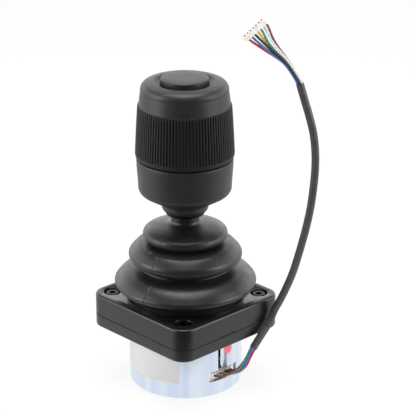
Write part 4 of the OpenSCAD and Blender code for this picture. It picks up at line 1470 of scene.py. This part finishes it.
@dataclass
class Grip:
    """The collar on the stick, and the grip: cup, ribbed sleeve, cap and button.

    Attributes:
        shaft_r: Radius of the stick, in mm.
        collar_z: Height of the collar's foot.
        cup_z: Height of the cup's foot.
        cup_top: Height of the cup's upper edge.
        sleeve_z: Height of the sleeve's lower edge.
        sleeve_top: Height of its upper edge.
        ribs: Number of ribs on it.
        rib_depth: Depth of the grooves between them.
        button_r: Radius of the button.
        button_top: Height of its top.
        lock_angle: Direction of the flats on the collar's lock nut, in degrees.
    """

    shaft_r: float = 4.0
    collar_z: float = 76.0
    cup_z: float = 79.9
    cup_top: float = 100.2
    sleeve_z: float = 100.75
    sleeve_top: float = 122.9
    ribs: int = 96
    rib_depth: float = 0.45
    button_r: float = 9.9
    button_top: float = 134.5
    lock_angle: float = -44.0

    def build(self) -> None:
        """Makes the pieces from the collar up."""
        self._lock_nut()
        self._collar()
        self._cup()
        self._sleeve()
        self._cap()
        self._button()

    def _lock_nut(self) -> None:
        """Makes the lock nut, with two flats for a spanner."""
        low = self.collar_z - 0.8
        outline = eased([(self.shaft_r + 0.05, low, 0.05), (8.1, low, 0.12), (8.1, self.collar_z),
                         (self.shaft_r + 0.05, self.collar_z)])
        form = bmesh.new()
        revolve(form, outline, even_angles(240), self._flats)
        fit(make_object("collar_lock_nut", form), Body.STICK, "black_screw", "collar_locknut")

    def _flats(self, angle: float, r: float, z: float) -> float:
        """Draws the lock nut's rim in to its two flats."""
        if r < 7.5:
            return 0.0
        away = abs((angle - self.lock_angle + 90) % 180 - 90)
        return min(0.0, (r - 0.23) / math.cos(math.radians(min(away, 60))) - r)

    def _collar(self) -> None:
        """Makes the collar under the cup."""
        outline = [(self.shaft_r + 0.05, self.collar_z), (7.5, self.collar_z)]
        outline += smooth_line([(7.85, self.collar_z + 0.03), (8.75, 76.5), (9.45, 77.3), (9.8, 78.2),
                                (9.93, 79.2),
                                (9.96, self.cup_z)], 5)
        outline += [(self.shaft_r + 0.05, self.cup_z)]
        fit(turned("stick_collar", outline, 160, 40), Body.STICK, "grip_plastic", "shaft_collar")

    def _cup(self) -> None:
        """Makes the cup at the bottom of the grip, which doesn't turn."""
        outline = [(self.shaft_r + 0.05, self.cup_z), (9.95, self.cup_z)]
        outline += smooth_line([(9.95, self.cup_z), (12.5, 81.4), (15.2, 82.99), (17.87, 84.56)], 3)[1:]
        outline += arc((16.2, 87.4), 3.3, -58, -6, 12)[1:]
        outline += smooth_line([(19.5, 88.0), (19.68, 91.0), (19.88, 93.7), (20.06, 96.3), (20.14, 98.6)],
                               4)[1:]
        outline += [(20.15, self.cup_top - 0.45), (20.05, self.cup_top - 0.12), (19.8, self.cup_top),
                    (17.6, self.cup_top),
                    (17.6, 108.0), (16.0, 108.0), (16.0, 97.0), (14.6, 97.0), (14.6, 95.8), (17.0, 94.5)]
        outline += [(17.5, 88.0), (15.5, 84.6), (10.5, 82.6), (self.shaft_r + 0.05, 82.6)]
        fit(turned("grip_cup_shell", outline, 200, 40), Body.STICK, "grip_plastic", "grip_cup")

    def _sleeve_radius(self, z: float) -> float:
        """Gives the radius over the sleeve's ribs at a height."""
        t = min(max((z - 102.0) / (self.sleeve_top - 102.0), 0.0), 1.0)
        return 20.65 + (19.46 - 20.65) * t + 0.28 * t * (1 - t)

    def _sleeve(self) -> None:
        """Makes the ribbed sleeve: a plain rim, then grooves that run out over its top."""
        low, top = self.sleeve_z, self.sleeve_top
        heights = [102.2, 102.45, 102.6, 102.75, 102.95, 103.3]
        heights += [103.3 + (top - 0.35 - 103.3) * k / 12 for k in range(1, 13)]
        outline = [(17.95, low), (19.9, low), (20.2, low + 0.08), (20.42, low + 0.35), (20.55, low + 0.8)]
        outline += [(self._sleeve_radius(z), z) for z in heights]
        outline += [(self._sleeve_radius(top) - 0.08, top - 0.14), (self._sleeve_radius(top) - 0.3, top),
                    (19.02, top), (17.95, top)]
        form = bmesh.new()
        per_rib = 12
        shares = [self._rib_share(k / per_rib) for k in range(per_rib)]
        angles = [360 * (i + share) / self.ribs for i in range(self.ribs) for share in shares]
        revolve(form, outline, angles, self._groove)
        fit(make_object("grip_ribbed_sleeve", form, 50), Body.GRIP, "grip_rubber", "grip_sleeve")

    @staticmethod
    def _rib_share(t: float) -> float:
        """Draws the points round one rib closer together at its groove."""
        return t - 0.1 * math.sin(2 * math.pi * t) / math.pi

    def _groove(self, angle: float, r: float, z: float) -> float:
        """Gives the depth of the grooves at a point of the sleeve."""
        if r < 19.0:
            return 0.0
        across = (angle * self.ribs / 360) % 1.0
        away = min(across, 1 - across)
        shape = 1 / (1 + (away / 0.15) ** 4)
        start = min(max((z - 102.2) / 0.75, 0.0), 1.0)
        return -self.rib_depth * shape * start * start * (3 - 2 * start)

    def _cap(self) -> None:
        """Makes the cap: a skirt, a round shoulder, a shallow cone and the rim round the button."""
        gap_r = self.button_r + 0.25
        outline = [(17.9, 111.5), (17.9, 122.6), (19.0, 122.6)]
        outline += smooth_line([(19.0, 123.0), (18.7, 125.1), (18.38, 127.6), (18.17, 129.1)], 5)
        outline += arc((15.2, 129.5), 3.0, 2, 74, 14)
        outline += smooth_line([(15.85, 132.42), (14.6, 132.66), (13.3, 132.86), (12.5, 132.8),
                                (11.75, 132.35),
                                (11.2, 131.95), (10.6, 131.82)], 5)[1:]
        outline += [(gap_r + 0.08, 131.78), (gap_r, 131.6), (gap_r, 128.0), (15.6, 128.0), (15.8, 127.0),
                    (15.8, 114.5), (16.5, 114.5), (16.5, 111.5)]
        fit(turned("grip_cap_shell", outline, 200, 40), Body.GRIP, "grip_plastic", "grip_cap")

    def _button(self) -> None:
        """Makes the push button, very slightly crowned."""
        r, top = self.button_r, self.button_top
        outline = [(0.0, 122.75), (2.2, 122.75), (2.2, 130.9), (8.4, 130.9), (8.4, 126.7), (11.2, 126.7),
                   (11.2, 127.9), (r, 127.9), (r, top - 0.6)]
        outline += arc((r - 0.5, top - 0.58), 0.5, 0, 84, 7)[1:] + [(5.0, top - 0.02), (0.0, top)]
        fit(turned("push_button_cap", outline, 160, 40), Body.BUTTON, "grip_plastic", "button")


# ---- what stays as it is


@dataclass
class Inside:
    """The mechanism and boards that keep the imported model's own shapes."""

    own: dict[str, Finish] = field(
        default_factory=lambda: {"inner_wires": wire_finish("yellow_green", "C8C83C", "B6B832")}
    )

    def dress(self) -> None:
        """Gives every shown node the finish of its slot."""
        slots = {part["node"]: part["material_slot"] for part in frame["record"]["subparts"]}
        for node, piece in frame["nodes"].items():
            if piece.hide_render:
                continue
            finish = self.own.get(node, SLOT_FINISH[slots[node]])
            paint(piece, finish)
            LOG.info("%s keeps its shape, in %s", node, finish.name)


def main() -> None:
    """Builds the joystick from its lead to its button."""
    logging.basicConfig(level=logging.INFO, format="%(name)s: %(message)s")
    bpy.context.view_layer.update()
    studio = Studio()
    studio.place_camera()
    Lead().build()
    for part in (Can(), Flange(), Bellows(), Grip()):
        part.build()
    Inside().dress()
    studio.light()


if __name__ == "__main__":
    main()
